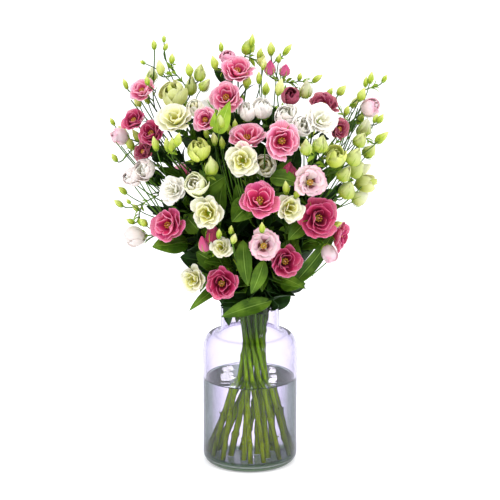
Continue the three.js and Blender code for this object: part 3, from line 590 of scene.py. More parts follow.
def stem_root(spray):
    """The flowers of a spray leave its stem one below the other, from the fork down."""
    points, smooth = lines[spray][0]
    down = BRANCH_FIRST + BRANCH_SPACING * (len(lines[spray]) - 1)
    i = len(points) - 1
    while down > np.linalg.norm(points[i] - points[i - 1]):
        down -= np.linalg.norm(points[i] - points[i - 1])
        i -= 1
    gap = points[i] - points[i - 1]
    share = down / np.linalg.norm(gap)
    return points[i] - gap * share, unit(gap), smooth[i] + (smooth[i - 1] - smooth[i]) * share


blooms = [
    bloom_place(name, f"bloom_{i}", form, *place)
    for i, (name, form, *place) in enumerate(BLOOMS)
]
half_open = [
    bloom_place(None, f"half_open_{i}", "cupped", *place) for i, place in enumerate(HALF_OPEN)
]
flowers = blooms + half_open
for bloom in flowers:
    spray, seat, axis = bloom["spray"], bloom["seat"], bloom["axis"]
    grow_shoot(spray, *stem_root(spray), seat, axis, bloom["owner"], PEDICEL, [])

# Twigs: thinner shoots that leave the nearest stalk of their spray and end in a bud.
# Spray, view point, depth, length, width, lean in the view (degrees to the right), colour.
BUDS = [
    ("spray_left_front", 211, 165, -96, 28, 20, -4, "lime"),
    ("spray_top_left", 191, 85, -12, 30, 17, 6, "lime"),
    ("spray_right_high", 321, 143, -100, 27, 20, 12, "lime"),
    ("spray_right_high", 355, 156, -68, 28, 20, 30, "lime"),
    ("spray_right", 357, 169, -36, 27, 19, 40, "lime"),
    ("spray_middle", 290, 170, -80, 26, 22, 8, "maroon"),
    ("spray_right", 348, 189, -60, 28, 19, 24, "lime"),
    ("spray_left_high", 154, 44, -6, 15, 8, -2, "lime"),
    ("spray_top_left", 166, 46, -10, 12, 7, 22, "lime"),
    ("spray_top_left", 172, 58, -16, 16, 9, 6, "lime"),
    ("spray_top_left", 160, 67, -22, 26, 13, -6, "pale"),
    ("spray_left_high", 147, 80, -44, 14, 8, -8, "lime"),
    ("spray_left_high", 125, 83, -8, 18, 7, -18, "lime"),
    ("spray_left_high", 152, 74, 12, 22, 16, 6, "pale"),
    ("spray_top_left", 189, 69, -34, 20, 12, -6, "lime"),
    ("spray_top_left", 200, 72, -20, 26, 16, 8, "lime"),
    ("spray_top", 214, 62, -22, 22, 12, -12, "lime"),
    ("spray_top", 221, 46, 26, 14, 7, -4, "lime"),
    ("spray_top", 249, 45, 12, 28, 18, 20, "lime"),
    ("spray_top", 260, 53, -4, 18, 9, 14, "lime"),
    ("spray_top_right", 271, 48, -4, 22, 12, 0, "lime"),
    ("spray_top_right", 288, 49, 0, 20, 9, 36, "lime"),
    ("spray_top_right", 270, 67, -28, 24, 16, 0, "pink"),
    ("spray_top_right", 285, 69, -22, 20, 15, 14, "pink"),
    ("spray_top_right", 280, 86, -62, 28, 13, 12, "pale"),
    ("spray_top_right", 300, 76, -16, 12, 7, 14, "lime"),
    ("spray_top_right", 318, 78, -6, 19, 9, 50, "lime"),
    ("spray_top_right", 306, 88, -30, 30, 19, 8, "pale"),
    ("spray_right_high", 342, 90, -10, 20, 12, 36, "lime"),
    ("spray_right_high", 347, 110, -30, 16, 9, 16, "lime"),
    ("spray_right_high", 366, 81, 14, 15, 8, 8, "lime"),
    ("spray_right_high", 385, 78, 18, 13, 7, 34, "lime"),
    ("spray_right_high", 381, 118, -26, 16, 9, 28, "lime"),
    ("spray_right_high", 366, 126, -16, 28, 17, 14, "pale"),
    ("spray_right_high", 381, 138, -24, 22, 13, 42, "lime"),
    ("spray_right_high", 361, 139, -44, 24, 17, 26, "lime"),
    ("spray_right_high", 306, 146, -116, 25, 15, 4, "lime"),
    ("spray_right_low", 338, 224, -66, 15, 9, 62, "lime"),
    ("spray_left", 118, 203, -30, 17, 9, -50, "lime"),
    ("spray_left", 135, 207, -44, 14, 8, -40, "lime"),
    ("spray_left", 130, 221, -40, 14, 8, -62, "lime"),
    ("spray_low_left", 204, 243, -98, 26, 17, -14, "pink"),
    ("spray_left_high", 114, 157, -26, 15, 8, -30, "lime"),
    ("spray_top_left", 167, 144, -74, 22, 10, -6, "lime"),
    ("spray_top_left", 178, 139, -108, 22, 12, 14, "lime"),
    ("spray_top_left", 221, 118, -104, 30, 17, -8, "lime"),
    ("spray_back_left", 188, 118, 76, 18, 11, -20, "lime"),
    ("spray_back_left", 238, 74, 84, 20, 12, -4, "lime"),
    ("spray_back_left", 206, 148, 132, 22, 12, -12, "lime"),
    ("spray_back_right", 266, 88, 92, 20, 12, 8, "lime"),
    ("spray_back_right", 284, 206, 136, 20, 11, 30, "lime"),
    ("spray_back_right", 312, 132, 84, 18, 11, 26, "lime"),
]
TWIG = {"radius": 0.95, "tip": 0.95, "steps": 2, "rings": 10, "outward": 0.35}
TWIG_TURN = math.cos(math.radians(62))
TWIG_LEAST = 16
BUD_BALLS = (0, 0.35, 0.7)
ROOT_FIRST = 2
ROOT_LAST = 4
WRONG_WAY_COST = 40
TOO_SHORT_COST = 60


def nearest_root(spray, target, least=0, turn=-1):
    """The nearest point of a spray's lines that heads the target's way."""
    best, best_cost = None, math.inf
    for points, smooth in lines[spray]:
        for i in range(ROOT_FIRST, len(points) - ROOT_LAST):
            ahead = unit(points[i] - points[i - 1])
            way = target - points[i]
            far = np.linalg.norm(way)
            cost = far + (WRONG_WAY_COST if way @ ahead < turn * far else 0)
            cost += TOO_SHORT_COST if far < least else 0
            if cost < best_cost:
                best, best_cost = (points[i], ahead, smooth[i]), cost
    return best


def near_fork(spray, below):
    """The point of a spray's stem that lies so far below its fork, as near as its steps give."""
    _, smooth = lines[spray][0]
    far = np.linalg.norm(smooth - smooth[-1], axis=1)
    at = min(int(np.argmin(np.abs(far - below))), len(smooth) - 2)
    return smooth[at], unit(smooth[at + 1] - smooth[at]), smooth[at]


def grow_bud(spray, px, py, y, length, width, lean, colour, twig, below=None):
    """A bud on its twig, which leaves the stem below the fork or else the nearest stalk."""
    angle = math.radians(lean)
    axis = unit(np.array((math.sin(angle), np.sign(y) * twig["outward"], math.cos(angle))))
    seat = seen(px, py, y) - axis * length / 2
    head = [(seat + axis * along * length, width / 2) for along in BUD_BALLS]
    if below is None:
        root = nearest_root(spray, seat, TWIG_LEAST, TWIG_TURN)
    else:
        root = near_fork(spray, below)
    grow_shoot(spray, *root, seat, axis, "bud", twig, head)
    for point, radius in head:
        stand(spray, "green", [point], radius)
    buds.append((spray, seat, axis, length, width, colour))


buds = []
for row in BUDS:
    grow_bud(*row, TWIG)

# More buds stand beyond and between the flowers on long straight stalks, which leave the stem
# near its fork and run up side by side. Spray, view point, depth, length, width, lean, how far
# below the fork the stalk starts, colour.
LONG_BUDS = [
    ("spray_top_left", 164, 38, -8, 10, 5, 2, 8, "lime"),
    ("spray_left_high", 142, 62, -20, 8, 5, -60, 4, "lime"),
    ("spray_left_high", 112, 121, 6, 12, 6, -30, 16, "lime"),
    ("spray_left_high", 122, 131, 16, 20, 12, -36, 26, "pale"),
    ("spray_left_high", 129, 143, -14, 24, 12, -34, 34, "lime"),
    ("spray_left_high", 137, 100, 14, 20, 11, -24, 12, "pale"),
    ("spray_left_high", 146, 96, 6, 22, 10, -18, 22, "lime"),
    ("spray_left_high", 136, 135, -8, 22, 11, -30, 44, "lime"),
    ("spray_left", 155, 143, -70, 22, 11, -12, 10, "lime"),
    ("spray_left", 122, 190, -10, 16, 9, -48, 20, "lime"),
    ("spray_left", 143, 222, -60, 15, 11, -40, 28, "lime"),
    ("spray_left", 128, 201, -54, 8, 5, -40, 34, "lime"),
    ("spray_top_left", 172, 145, -90, 24, 11, 2, 14, "lime"),
    ("spray_top_left", 206, 84, -30, 24, 15, 40, 20, "lime"),
    ("spray_top", 247, 80, -20, 22, 13, 6, 10, "lime"),
    ("spray_top", 252, 40, 4, 20, 9, 8, 18, "lime"),
    ("spray_top", 261, 57, 0, 26, 13, -4, 28, "pale"),
    ("spray_top_right", 259, 77, -26, 18, 9, 0, 12, "lime"),
    ("spray_top_right", 279, 58, -10, 12, 7, 8, 22, "lime"),
    ("spray_top_right", 264, 63, -30, 18, 9, 10, 32, "pale"),
    ("spray_top_right", 330, 92, 4, 16, 9, 30, 44, "lime"),
    ("spray_right_high", 362, 94, -8, 22, 13, 22, 6, "lime"),
    ("spray_right_high", 371, 77, 12, 18, 9, 12, 14, "lime"),
    ("spray_right_high", 355, 102, 10, 18, 10, 24, 22, "pale"),
    ("spray_right_high", 361, 118, 14, 20, 11, 30, 30, "lime"),
    ("spray_right_high", 376, 118, -20, 13, 9, 20, 38, "lime"),
    ("spray_right_high", 384, 136, -40, 20, 10, 44, 46, "lime"),
    ("spray_right", 362, 170, 6, 32, 19, 62, 8, "pale"),
    ("spray_right", 361, 198, -40, 26, 17, 62, 16, "pale"),
    ("spray_right", 370, 151, 10, 22, 15, 40, 24, "lime"),
    ("spray_right", 345, 173, -70, 26, 16, 34, 34, "lime"),
    ("spray_right_high", 364, 128, 20, 26, 16, 30, 12, "pale"),
    ("spray_right_high", 320, 143, -104, 24, 16, 20, 40, "lime"),
    ("spray_middle", 229, 128, -50, 16, 8, -2, 12, "lime"),
    ("spray_middle", 235, 124, -58, 16, 8, 0, 20, "lime"),
    ("spray_middle", 240, 140, -62, 14, 7, 2, 28, "lime"),
    ("spray_middle", 222, 142, -70, 18, 9, -6, 36, "lime"),
    ("spray_left_front", 214, 138, -70, 20, 10, -8, 20, "pale"),
    ("spray_left_front", 206, 132, -66, 16, 8, -10, 30, "lime"),
    ("spray_middle", 297, 193, -112, 16, 9, 16, 18, "lime"),
    ("spray_middle", 286, 187, -110, 20, 11, -4, 26, "lime"),
    ("spray_front", 262, 227, -140, 16, 9, 0, 10, "lime"),
    ("spray_low_left", 231, 229, -118, 12, 7, 8, 10, "lime"),
    ("spray_low_left", 219, 233, -122, 14, 8, 4, 20, "lime"),
    ("spray_low_left", 234, 238, -120, 15, 10, 16, 30, "pale"),
    ("spray_low_left", 213, 233, -98, 32, 22, -6, 44, "maroon"),
]
LONG_TWIG = {"radius": 1.0, "tip": 0.75, "steps": 3, "rings": 14, "outward": 0.175}
for *row, below, colour in LONG_BUDS:
    grow_bud(*row, colour, LONG_TWIG, below)

# The stalks that show in the gaps between the flowers, in loose bundles that fan out a little.
# For each spray, the view point and depth of each stalk's root, then of its tip.
GAP_STALKS = {
    "spray_middle": [
        (240, 214, -66, 226, 158, -84), (243, 212, -70, 231, 160, -88),
        (246, 210, -72, 236, 172, -92), (248, 208, -70, 240, 176, -92),
        (250, 206, -70, 245, 178, -90), (236, 214, -60, 218, 134, -70),
        (234, 212, -60, 213, 138, -66), (262, 204, -66, 265, 148, -96),
        (238, 216, -70, 222, 166, -84),
    ],
    "spray_left": [
        (170, 200, -40, 116, 142, -30), (173, 200, -40, 121, 146, -34),
        (176, 198, -36, 128, 150, -30), (180, 196, -30, 134, 148, -26),
        (172, 206, -50, 138, 172, -52), (176, 208, -50, 130, 180, -48),
        (172, 226, -50, 136, 176, -48), (168, 224, -54, 130, 180, -48),
        (166, 218, -56, 142, 174, -52),
    ],
    "spray_left_high": [
        (184, 172, -20, 148, 130, -34), (188, 170, -20, 160, 138, -30),
        (168, 140, -10, 138, 96, -16), (164, 136, -10, 131, 100, -14),
        (172, 130, -6, 150, 84, 6),
    ],
    "spray_right": [
        (318, 200, -50, 352, 140, -34), (322, 202, -50, 346, 160, -56),
        (326, 202, -46, 360, 168, -30), (330, 204, -46, 352, 180, -44),
        (332, 212, -50, 362, 186, -30),
    ],
    "spray_right_high": [
        (326, 186, -20, 352, 112, -10), (328, 184, -20, 358, 108, 0),
        (330, 182, -20, 362, 104, 4), (332, 176, -16, 368, 124, -12),
        (318, 190, -30, 344, 134, -40), (304, 182, -50, 304, 146, -80),
        (308, 180, -50, 312, 148, -80),
    ],
    "spray_right_low": [
        (287, 291, -56, 327, 262, -66),
    ],
}
GAP_STALK_RADII = (1.15, 0.85)
GAP_STALK_BOW = 0.06
GAP_STALK_RINGS = 10
for spray, stalks in GAP_STALKS.items():
    for spots in stalks:
        root, tip = seen(*spots[:3]), seen(*spots[3:])
        bow = np.array((0, 0, -1.0)) * np.linalg.norm(tip - root) * GAP_STALK_BOW
        guide = [root, root + (tip - root) / 3 + bow, root + (tip - root) * 2 / 3 + bow, tip]
        radii = np.linspace(*GAP_STALK_RADII, GAP_STALK_RINGS + 1)
        tubes[spray].append((swept(guide, GAP_STALK_RINGS), radii))

# Petals: thin and soft like damp silk, up to five to a whorl and whorl within whorl. Each overlaps
# the next like a pinwheel, rises steeply from the calyx, rolls outwards at its rim and is frilled.
# A whorl: petals, turn, distance from the axis and height along the petal (as shares of the
# bloom's radius and height, guiding a cubic curve), and half a petal's spread in degrees.
PETAL_FACES = (10, 8)
PETAL_THICKNESS = 0.45
PETAL_NECK = 0.22
PETAL_ROUND = 0.25
WIDENING = 1.25
RIM_POWER = 4
RUFFLE_ECHO = (0.5, 1.8)
FRILL_WAVES = 11
SOFT_EDGE = math.radians(60)
# How much lower a petal's corners stand than its middle, its ruffle and how many waves that has,
# its fine frill, and how far one edge lies inside the next petal.
EDGES = {
    "rose": (0.24, 0.085, 2.8, 0.02, 0.12), "ring": (0.18, 0.05, 3.6, 0.035, 0.07),
    "folded": (0.24, 0.075, 3.0, 0.018, 0.11), "cupped": (0.2, 0.09, 2.6, 0.025, 0.12),
    "closed": (0.2, 0.05, 2.2, 0.012, 0.15), "bud": (0.05, 0.0, 1.0, 0.0, 0.06),
}
PETAL_CHANCE = {
    "big": (0.84, 1.06), "high": (0.8, 1.06), "turn": (-0.22, 0.22), "point": (1.3, 3.6),
}
WHORLS = {
    "rose": [
        (5, 0.0, (0.08, 0.58, 0.98, 1.03), (0.0, 0.20, 0.52, 0.70), 50),
        (5, 0.5, (0.07, 0.46, 0.76, 0.85), (0.02, 0.28, 0.68, 0.85), 52),
        (3, 0.2, (0.06, 0.36, 0.60, 0.60), (0.03, 0.28, 0.70, 0.98), 68),
        (2, 0.7, (0.05, 0.26, 0.44, 0.42), (0.03, 0.26, 0.62, 0.90), 78),
    ],
    "ring": [
        (5, 0.0, (0.08, 0.58, 0.92, 1.03), (0.0, 0.34, 0.74, 0.68), 50),
        (5, 0.5, (0.07, 0.50, 0.72, 0.88), (0.02, 0.34, 0.78, 0.76), 48),
        (4, 0.25, (0.06, 0.40, 0.54, 0.66), (0.03, 0.26, 0.62, 0.72), 46),
    ],
    "folded": [
        (5, 0.0, (0.08, 0.56, 0.90, 1.03), (0.0, 0.26, 0.62, 0.68), 50),
        (5, 0.5, (0.07, 0.42, 0.72, 0.82), (0.02, 0.32, 0.74, 0.84), 52),
        (3, 0.2, (0.06, 0.32, 0.54, 0.56), (0.03, 0.34, 0.76, 0.96), 66),
        (3, 0.6, (0.05, 0.22, 0.32, 0.30), (0.03, 0.36, 0.72, 0.92), 64),
    ],
    "cupped": [
        (4, 0.0, (0.12, 0.84, 1.08, 0.80), (0.0, 0.10, 0.62, 0.88), 70),
        (4, 0.5, (0.10, 0.72, 0.96, 0.58), (0.02, 0.18, 0.72, 0.97), 70),
        (3, 0.2, (0.08, 0.56, 0.72, 0.34), (0.03, 0.26, 0.76, 1.0), 84),
        (2, 0.6, (0.05, 0.36, 0.38, 0.10), (0.03, 0.30, 0.76, 0.99), 100),
    ],
    "closed": [
        (4, 0.0, (0.14, 0.94, 1.12, 0.60), (0.0, 0.06, 0.64, 0.90), 66),
        (4, 0.5, (0.10, 0.78, 0.94, 0.36), (0.02, 0.18, 0.74, 1.0), 64),
        (3, 0.3, (0.06, 0.40, 0.46, 0.16), (0.03, 0.30, 0.76, 1.0), 78),
    ],
    "bud": [
        (3, 0.0, (0.20, 1.16, 0.98, 0.06), (0.0, 0.08, 0.52, 0.98), 84),
        (2, 0.4, (0.18, 0.98, 0.70, 0.02), (0.02, 0.16, 0.60, 1.0), 105),
    ],
}
# How far the furled forms turn about their axis from foot to tip, in radians.
TWIST = {"closed": 0.55, "bud": 0.9}
OPEN_FORMS = {
    "cream": "folded", "white": "folded", "blush": "ring", "pink": "rose", "crimson": "rose",
    "maroon": "rose",
}


def points_of(mesh):
    flat = np.empty(len(mesh.vertices) * 3)
    mesh.vertices.foreach_get("co", flat)
    return flat.reshape(-1, 3)


def sheet_of(name, across, along):
    """A flat grid to shape petals and leaves from, with each point's place across and along."""
    deselect()
    bpy.ops.mesh.primitive_grid_add(x_subdivisions=across, y_subdivisions=along, size=2)
    flat = bpy.context.object
    mesh = flat.data
    mesh.name = name
    bpy.data.objects.remove(flat)
    places = points_of(mesh)
    return mesh, places[:, 0], (places[:, 1] + 1) / 2


def laid(sheet, places, look):
    """A copy of a sheet with its points at new places in millimetres."""
    mesh = sheet[0].copy()
    mesh.vertices.foreach_set("co", (places * MM).ravel())
    mesh.materials.append(look)
    return linked(sheet[0].name, mesh)


VEIN_LINES = {"Scale": 4.2, "Distortion": 2.5, "Detail": 2.0}
DENSE_PETAL = 0.3


def petal_look(name, stops, vein, soft=0.55):
    """Petal tissue: one colour running into another from its claw to its rim, with fine veins
    that fan along it, and a soft sheen from its velvety cells."""
    def colour(tree):
        flat = node(tree, "ShaderNodeUVMap").outputs["UV"]
        along = node(tree, "ShaderNodeSeparateXYZ", links={0: flat}).outputs["Y"]
        place = node(tree, "ShaderNodeTexCoord").outputs["Object"]
        cloud = node(tree, "ShaderNodeTexNoise", {"Scale": 60.0, "Detail": 2.0}, {"Vector": place})
        shift = node(
            tree, "ShaderNodeMath", {1: 0.3, 2: -0.15}, {0: cloud.outputs["Fac"]},
            operation="MULTIPLY_ADD",
        )
        moved = node(tree, "ShaderNodeMath", links={0: along, 1: shift.outputs[0]})
        tint = node(tree, "ShaderNodeValToRGB", stops=stops, links={"Fac": moved.outputs[0]})
        veins = node(tree, "ShaderNodeTexWave", VEIN_LINES, {"Vector": flat}, bands_direction="X")
        fine = node(
            tree, "ShaderNodeMapRange", {1: 0.7, 2: 1.0, 3: 0.0, 4: 0.4}, {0: veins.outputs["Fac"]}
        )
        return node(
            tree, "ShaderNodeMix", {7: linear(vein)},
            {0: fine.outputs[0], 6: tint.outputs["Color"]}, data_type="RGBA",
        ).outputs[2]

    def relief(tree):
        flat = node(tree, "ShaderNodeUVMap").outputs["UV"]
        veins = node(tree, "ShaderNodeTexWave", VEIN_LINES, {"Vector": flat}, bands_direction="X")
        return node(
            tree, "ShaderNodeBump", {"Strength": 0.35, "Distance": 0.25 * MM},
            {"Height": veins.outputs["Fac"]},
        ).outputs["Normal"]

    values = {
        "Roughness": 0.5, "Sheen Weight": 0.06, "Sheen Roughness": 0.4,
        "Subsurface Weight": soft, "Subsurface Radius": (0.006, 0.005, 0.0044),
        "Subsurface Scale": 1.0, "Specular IOR Level": 0.2,
    }
    return material(name, values, {"Base Color": colour, "Normal": relief})


# Creamy white petals whose folded hearts are greenish yellow.
cream_petal = petal_look(
    "cream_petal", [(0.0, "#bac348"), (0.35, "#e4e294"), (0.7, "#f4f0ce"), (1.0, "#faf3e2")],
    "#e4e0a8",
)
cream_heart = petal_look(
    "cream_heart", [(0.0, "#a08c12"), (0.3, "#c9bc2c"), (0.6, "#e0df82"), (1.0, "#f6f3cc")],
    "#bcb83f",
)
# Crimson petals, darkest at the heart, with a dusty pink bloom on the rims.
crimson_petal = petal_look(
    "crimson_petal", [(0.0, "#640820"), (0.45, "#b41a4a"), (0.85, "#cf3c6c"), (1.0, "#d9628f")],
    "#a81c48",
)
crimson_heart = petal_look(
    "crimson_heart", [(0.0, "#240208"), (0.5, "#5c0820"), (0.9, "#b2204c"), (1.0, "#d84f7c")],
    "#5a0a26",
)
# Blush petals: white with a breath of pink along the edges, and a dark throat.
blush_petal = petal_look(
    "blush_petal", [(0.0, "#cfae92"), (0.4, "#f2cfca"), (0.8, "#f5cfd2"), (1.0, "#ee9cb4")],
    "#e8b8bc",
)
blush_heart = petal_look(
    "blush_heart", [(0.0, "#35110c"), (0.4, "#5a211c"), (0.52, "#dc9cac"), (1.0, "#f3ccd6")],
    "#d09aa6",
)
# Clear rose pink petals, paler at the rims and deeper at the claw; the inner whorls take a deeper
# pink, which partly paints the shade in the heart of the flower.
pink_petal = petal_look(
    "pink_petal", [(0.0, "#b01a46"), (0.35, "#e24c80"), (0.75, "#f58eb0"), (1.0, "#fdc0d3")],
    "#cf3f70",
)
pink_heart = petal_look(
    "pink_heart", [(0.0, "#7c0e26"), (0.4, "#b02048"), (0.75, "#e0507f"), (1.0, "#f8a6c0")],
    "#9c1f48",
)
# White petals with a green tinge at the claw.
white_petal = petal_look(
    "white_petal", [(0.0, "#e4e9b8"), (0.2, "#fffaee"), (1.0, "#fffcf6")], "#fdf6ea",
    DENSE_PETAL,
)
white_heart = petal_look(
    "white_heart", [(0.0, "#d8e096"), (0.4, "#faf7e2"), (1.0, "#fffdf5")], "#f6f2da",
    DENSE_PETAL,
)
# Wine-red petals that fade to a dusky rose at the rim.
maroon_petal = petal_look(
    "maroon_petal", [(0.0, "#5c1424"), (0.5, "#962c42"), (1.0, "#bb5470")], "#701a30"
)
maroon_heart = petal_look(
    "maroon_heart", [(0.0, "#370610"), (0.6, "#7a1c34"), (1.0, "#a43a58")], "#4c0b20"
)
# The brightest pinks, nearly magenta.
vivid_petal = petal_look(
    "vivid_pink_petal", [(0.0, "#921034"), (0.4, "#d02460"), (0.8, "#e6548a"), (1.0, "#ee83a9")],
    "#c02658",
)
vivid_heart = petal_look(
    "vivid_pink_heart", [(0.0, "#8a1822"), (0.4, "#b81c46"), (0.75, "#e03c74"), (1.0, "#f488ac")],
    "#9c1840",
)
# Cream petals that have kept the green of the bud.
greenish_petal = petal_look(
    "greenish_cream_petal", [(0.0, "#9fb534"), (0.4, "#dbe08c"), (1.0, "#f6f5d6")], "#c2cd66",
    DENSE_PETAL,
)
# Off-white petals with a breath of pink and grey: a darker copy of the white, painted shade that
# holds back the key light on the white blooms that face it.
white_petal_in_painted_shade = petal_look(
    "white_petal_painted_shade", [(0.0, "#c9cf90"), (0.25, "#e6dacb"), (1.0, "#e9dbd8")], "#d6c8bc",
    DENSE_PETAL,
)
# The look of a colour's outer and inner whorls, and the blooms that differ from their colour.
PETAL_LOOKS = {
    "pale": (white_petal_in_painted_shade, white_heart), "greenish": (greenish_petal, cream_petal),
    "vivid": (vivid_petal, vivid_heart),
    "cream": (cream_petal, cream_heart), "crimson": (crimson_petal, crimson_heart),
    "blush": (blush_petal, blush_heart), "pink": (pink_petal, pink_heart),
    "white": (white_petal, white_heart), "maroon": (maroon_petal, maroon_heart),
}
# The two white blooms that face the key light take the off-white, as painted shade.
LOOK_FROM = {
    "white_bloom_1": "pale", "white_bloom_3": "pale", "cream_bloom_5": "greenish",
    "white_bloom_4": "cream", "white_bloom_5": "cream", "pink_bloom_1": "vivid",
    "pink_bloom_2": "vivid",
}
petal_sheet = sheet_of("petal", *PETAL_FACES)


def frame_at(axis):
    """The two ways across a flower's axis, the first one its petals are counted from."""
    turn = Vector((0, 1, 0)).rotation_difference(Vector(axis))
    return np.array(turn @ Vector((0, 0, 1))), np.array(turn @ Vector((1, 0, 0)))


def petals(form, seat, axis, width, height, looks, seed):
    """All the petals of a flower, as loose sheets, the outer whorls first."""
    _, u, v = petal_sheet
    first, second = frame_at(axis)
    chance = np.random.default_rng(seed)
    made = []
    corner, ruffle, waves, fringe, tuck = EDGES[form]
    for number, (count, turn, reach, rise, half) in enumerate(WHORLS[form]):
        for place in range(count):
            big = chance.uniform(*PETAL_CHANCE["big"])
            high = chance.uniform(*PETAL_CHANCE["high"])
            at = 2 * math.pi * (place + turn) / count + chance.uniform(*PETAL_CHANCE["turn"])
            phase = chance.uniform(0, 2 * math.pi, 3)
            share = v * (1 - corner * np.abs(u) ** chance.uniform(*PETAL_CHANCE["point"]))
            out = cubic(reach, share)[:, 0] * big
            up = cubic(rise, share)[:, 0] * high * height
            out *= (1 + tuck * u * v) * width / 2
            wave = np.sin(waves * u + phase[0])
            wave += RUFFLE_ECHO[0] * np.sin(RUFFLE_ECHO[1] * waves * u + phase[1])
            wave = wave * ruffle * (width / 2) * v ** 2
            frill = 1 + fringe * v ** RIM_POWER * np.sin(FRILL_WAVES * u + phase[2])
            steep = (rise[3] - rise[1]) * height
            flat = max((reach[3] - reach[1]) * width / 2, 0.0)
            lean = math.hypot(steep, flat)
            out = out * frill + wave * steep / lean
            up = up - wave * flat / lean
            opening = np.sin(math.pi / 2 * np.minimum(1, WIDENING * v))
            narrow = PETAL_NECK + (1 - PETAL_NECK) * opening
            spread = math.radians(half) * narrow * (1 - PETAL_ROUND * v ** RIM_POWER)
            angle = (at + u * spread + TWIST.get(form, 0) * v)[:, None]
            across = first * np.cos(angle) + second * np.sin(angle)
            places = seat + across * out[:, None] + axis * up[:, None]
            made.append(laid(petal_sheet, places, looks[min(number // 2, len(looks) - 1)]))
    return made


def gathered(pieces, name):
    """One object of many."""
    deselect()
    for piece in pieces:
        piece.select_set(True)
    bpy.context.view_layer.objects.active = pieces[0]
    if len(pieces) > 1:
        bpy.ops.object.join()
    made = bpy.context.object
    made.name = name
    return made


def thickened(sheets, name, thickness):
    """Loose sheets joined, given their thickness, and smoothed."""
    made = gathered(sheets, name)
    wall = made.modifiers.new("thickness", "SOLIDIFY")
    wall.thickness = thickness * MM
    wall.offset = 0
    bpy.ops.object.modifier_apply(modifier=wall.name)
    bpy.ops.object.shade_smooth_by_angle(angle=SOFT_EDGE)
    return made


# Hearts: an open flower holds a green ovary with a two-lobed salmon-yellow stigma, and a ring of
# golden anthers on fine filaments round it.
ANTHER = (1.1, 1.1, 2.3)
FILAMENT = (0.3, 0.3, 0.22)
OVARY = (2.0, 2.0, 0.22)
STIGMA = (1.3, 0.9, 0.9)
ANTHER_RING = 0.15
ANTHER_HEIGHT = 0.5
STIGMA_HEIGHT = 0.5
ANTHERS = 8
ANTHER_TURN = 0.3
NUDGE = 0.01


def body_of(name, add, **sizes):
    """A small rounded body of radius one metre, to copy at its place and size."""
    deselect()
    add(**sizes)
    ball = bpy.context.object
    bpy.ops.object.shade_smooth()
    mesh = ball.data
    mesh.name = name
    bpy.data.objects.remove(ball)
    return mesh


def stood(body, place, first, second, axis, sizes, look):
    """A copy of a body, set at a place along three ways with its three sizes in millimetres."""
    mesh = body.copy()
    ways = Matrix([
        [first[i] * sizes[0], second[i] * sizes[1], axis[i] * sizes[2], place[i]]
        for i in range(3)
    ] + [[0, 0, 0, 1 / MM]])
    mesh.transform(ways * MM)
    mesh.materials.append(look)
    return linked(body.name, mesh)


def speckled(name, stops, scale, values):
    """A soft living surface whose colour varies from spot to spot."""
    def colour(tree):
        place = node(tree, "ShaderNodeTexCoord").outputs["Object"]
        spots = node(tree, "ShaderNodeTexNoise", {"Scale": scale, "Detail": 3.0}, {"Vector": place})
        return node(
            tree, "ShaderNodeValToRGB", stops=stops, links={"Fac": spots.outputs["Fac"]}
        ).outputs["Color"]
    return material(name, values, {"Base Color": colour})


# Anthers dusted with golden pollen, the green ovary, and its salmon-yellow stigma.
pollen = speckled(
    "golden_pollen", [(0.3, "#8a5410"), (0.7, "#dfa63c")], 900, {"Roughness": 0.8}
)
ovary_green = speckled(
    "ovary_green", [(0.3, "#8f9a30"), (0.7, "#c6c25c")], 500, {"Roughness": 0.5}
)
stigma_salmon = speckled(
    "stigma_salmon", [(0.3, "#c8704a"), (0.7, "#e2b478")], 900, {"Roughness": 0.6}
)
bead = body_of("bead", bpy.ops.mesh.primitive_ico_sphere_add, subdivisions=2)


def heart(seat, axis, width, height):
    """The ovary, stigma and anthers of a flower, as loose bodies."""
    first, second = frame_at(axis)
    parts = []
    tall = height * OVARY[2]
    parts.append(
        stood(bead, seat + axis * tall, first, second, axis, (*OVARY[:2], tall), ovary_green)
    )
    for side in (-1, 1):
        place = seat + axis * STIGMA_HEIGHT * height + first * side * STIGMA[0] / 2
        parts.append(stood(bead, place, first, second, axis, STIGMA, stigma_salmon))
    for turn in range(ANTHERS):
        angle = 2 * math.pi * (turn + ANTHER_TURN) / ANTHERS
        out = first * math.cos(angle) + second * math.sin(angle)
        tip = seat + out * ANTHER_RING * width / 2 + axis * ANTHER_HEIGHT * height
        way = unit(tip - seat)
        side = unit(np.cross(way, out + NUDGE * second))
        other = np.cross(way, side)
        long = np.linalg.norm(tip - seat) / 2
        parts.append(
            stood(bead, (tip + seat) / 2, side, other, way, (*FILAMENT[:2], long), ovary_green)
        )
        parts.append(stood(bead, tip, side, other, way, ANTHER, pollen))
    return parts


for name in dict.fromkeys(bloom["node"] for bloom in blooms):
    colour = next(look for look in PETAL_LOOKS if look in name)
    loose, hearts = [], []
    for i, bloom in enumerate(blooms):
        if bloom["node"] != name:
            continue
        size = (bloom["width"], bloom["height"])
        base = bloom["seat"] + bloom["axis"] * SEAT_GAP
        form = bloom["form"]
        if form == "open":
            form = OPEN_FORMS[colour]
            if form != "folded":
                hearts += heart(base, bloom["axis"], *size)
        looks = PETAL_LOOKS[LOOK_FROM.get(name, colour)]
        loose += petals(form, base, bloom["axis"], *size, looks, i)
    flower = gathered([thickened(loose, name, PETAL_THICKNESS)] + hearts, f"{name}_petals")
    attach(flower, "root")
    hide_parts(name)

# Calyxes and half-open flowers: five narrow pointed sepals spring from a small cup and lie along
# the outside of the petals. The half-open flowers are still the green-yellow of the bud.
SEPAL_FACES = (2, 6)
SEPAL_WIDTH = 2.3
SEPAL_LENGTH = {"open": 0.72, "cupped": 0.36, "closed": 0.32, "bud": 0.72}
SEPALS = 5
SEPAL_OUT = 0.9
SEPAL_POINT = 0.03
SEPAL_TAPER = 0.7
CUP = 0.1
CUP_LEAST = 1.7
GREEN_THICKNESS = 0.6
PALE_HALF_OPEN = (1, 3)
HALF_OPEN_SEED = 100


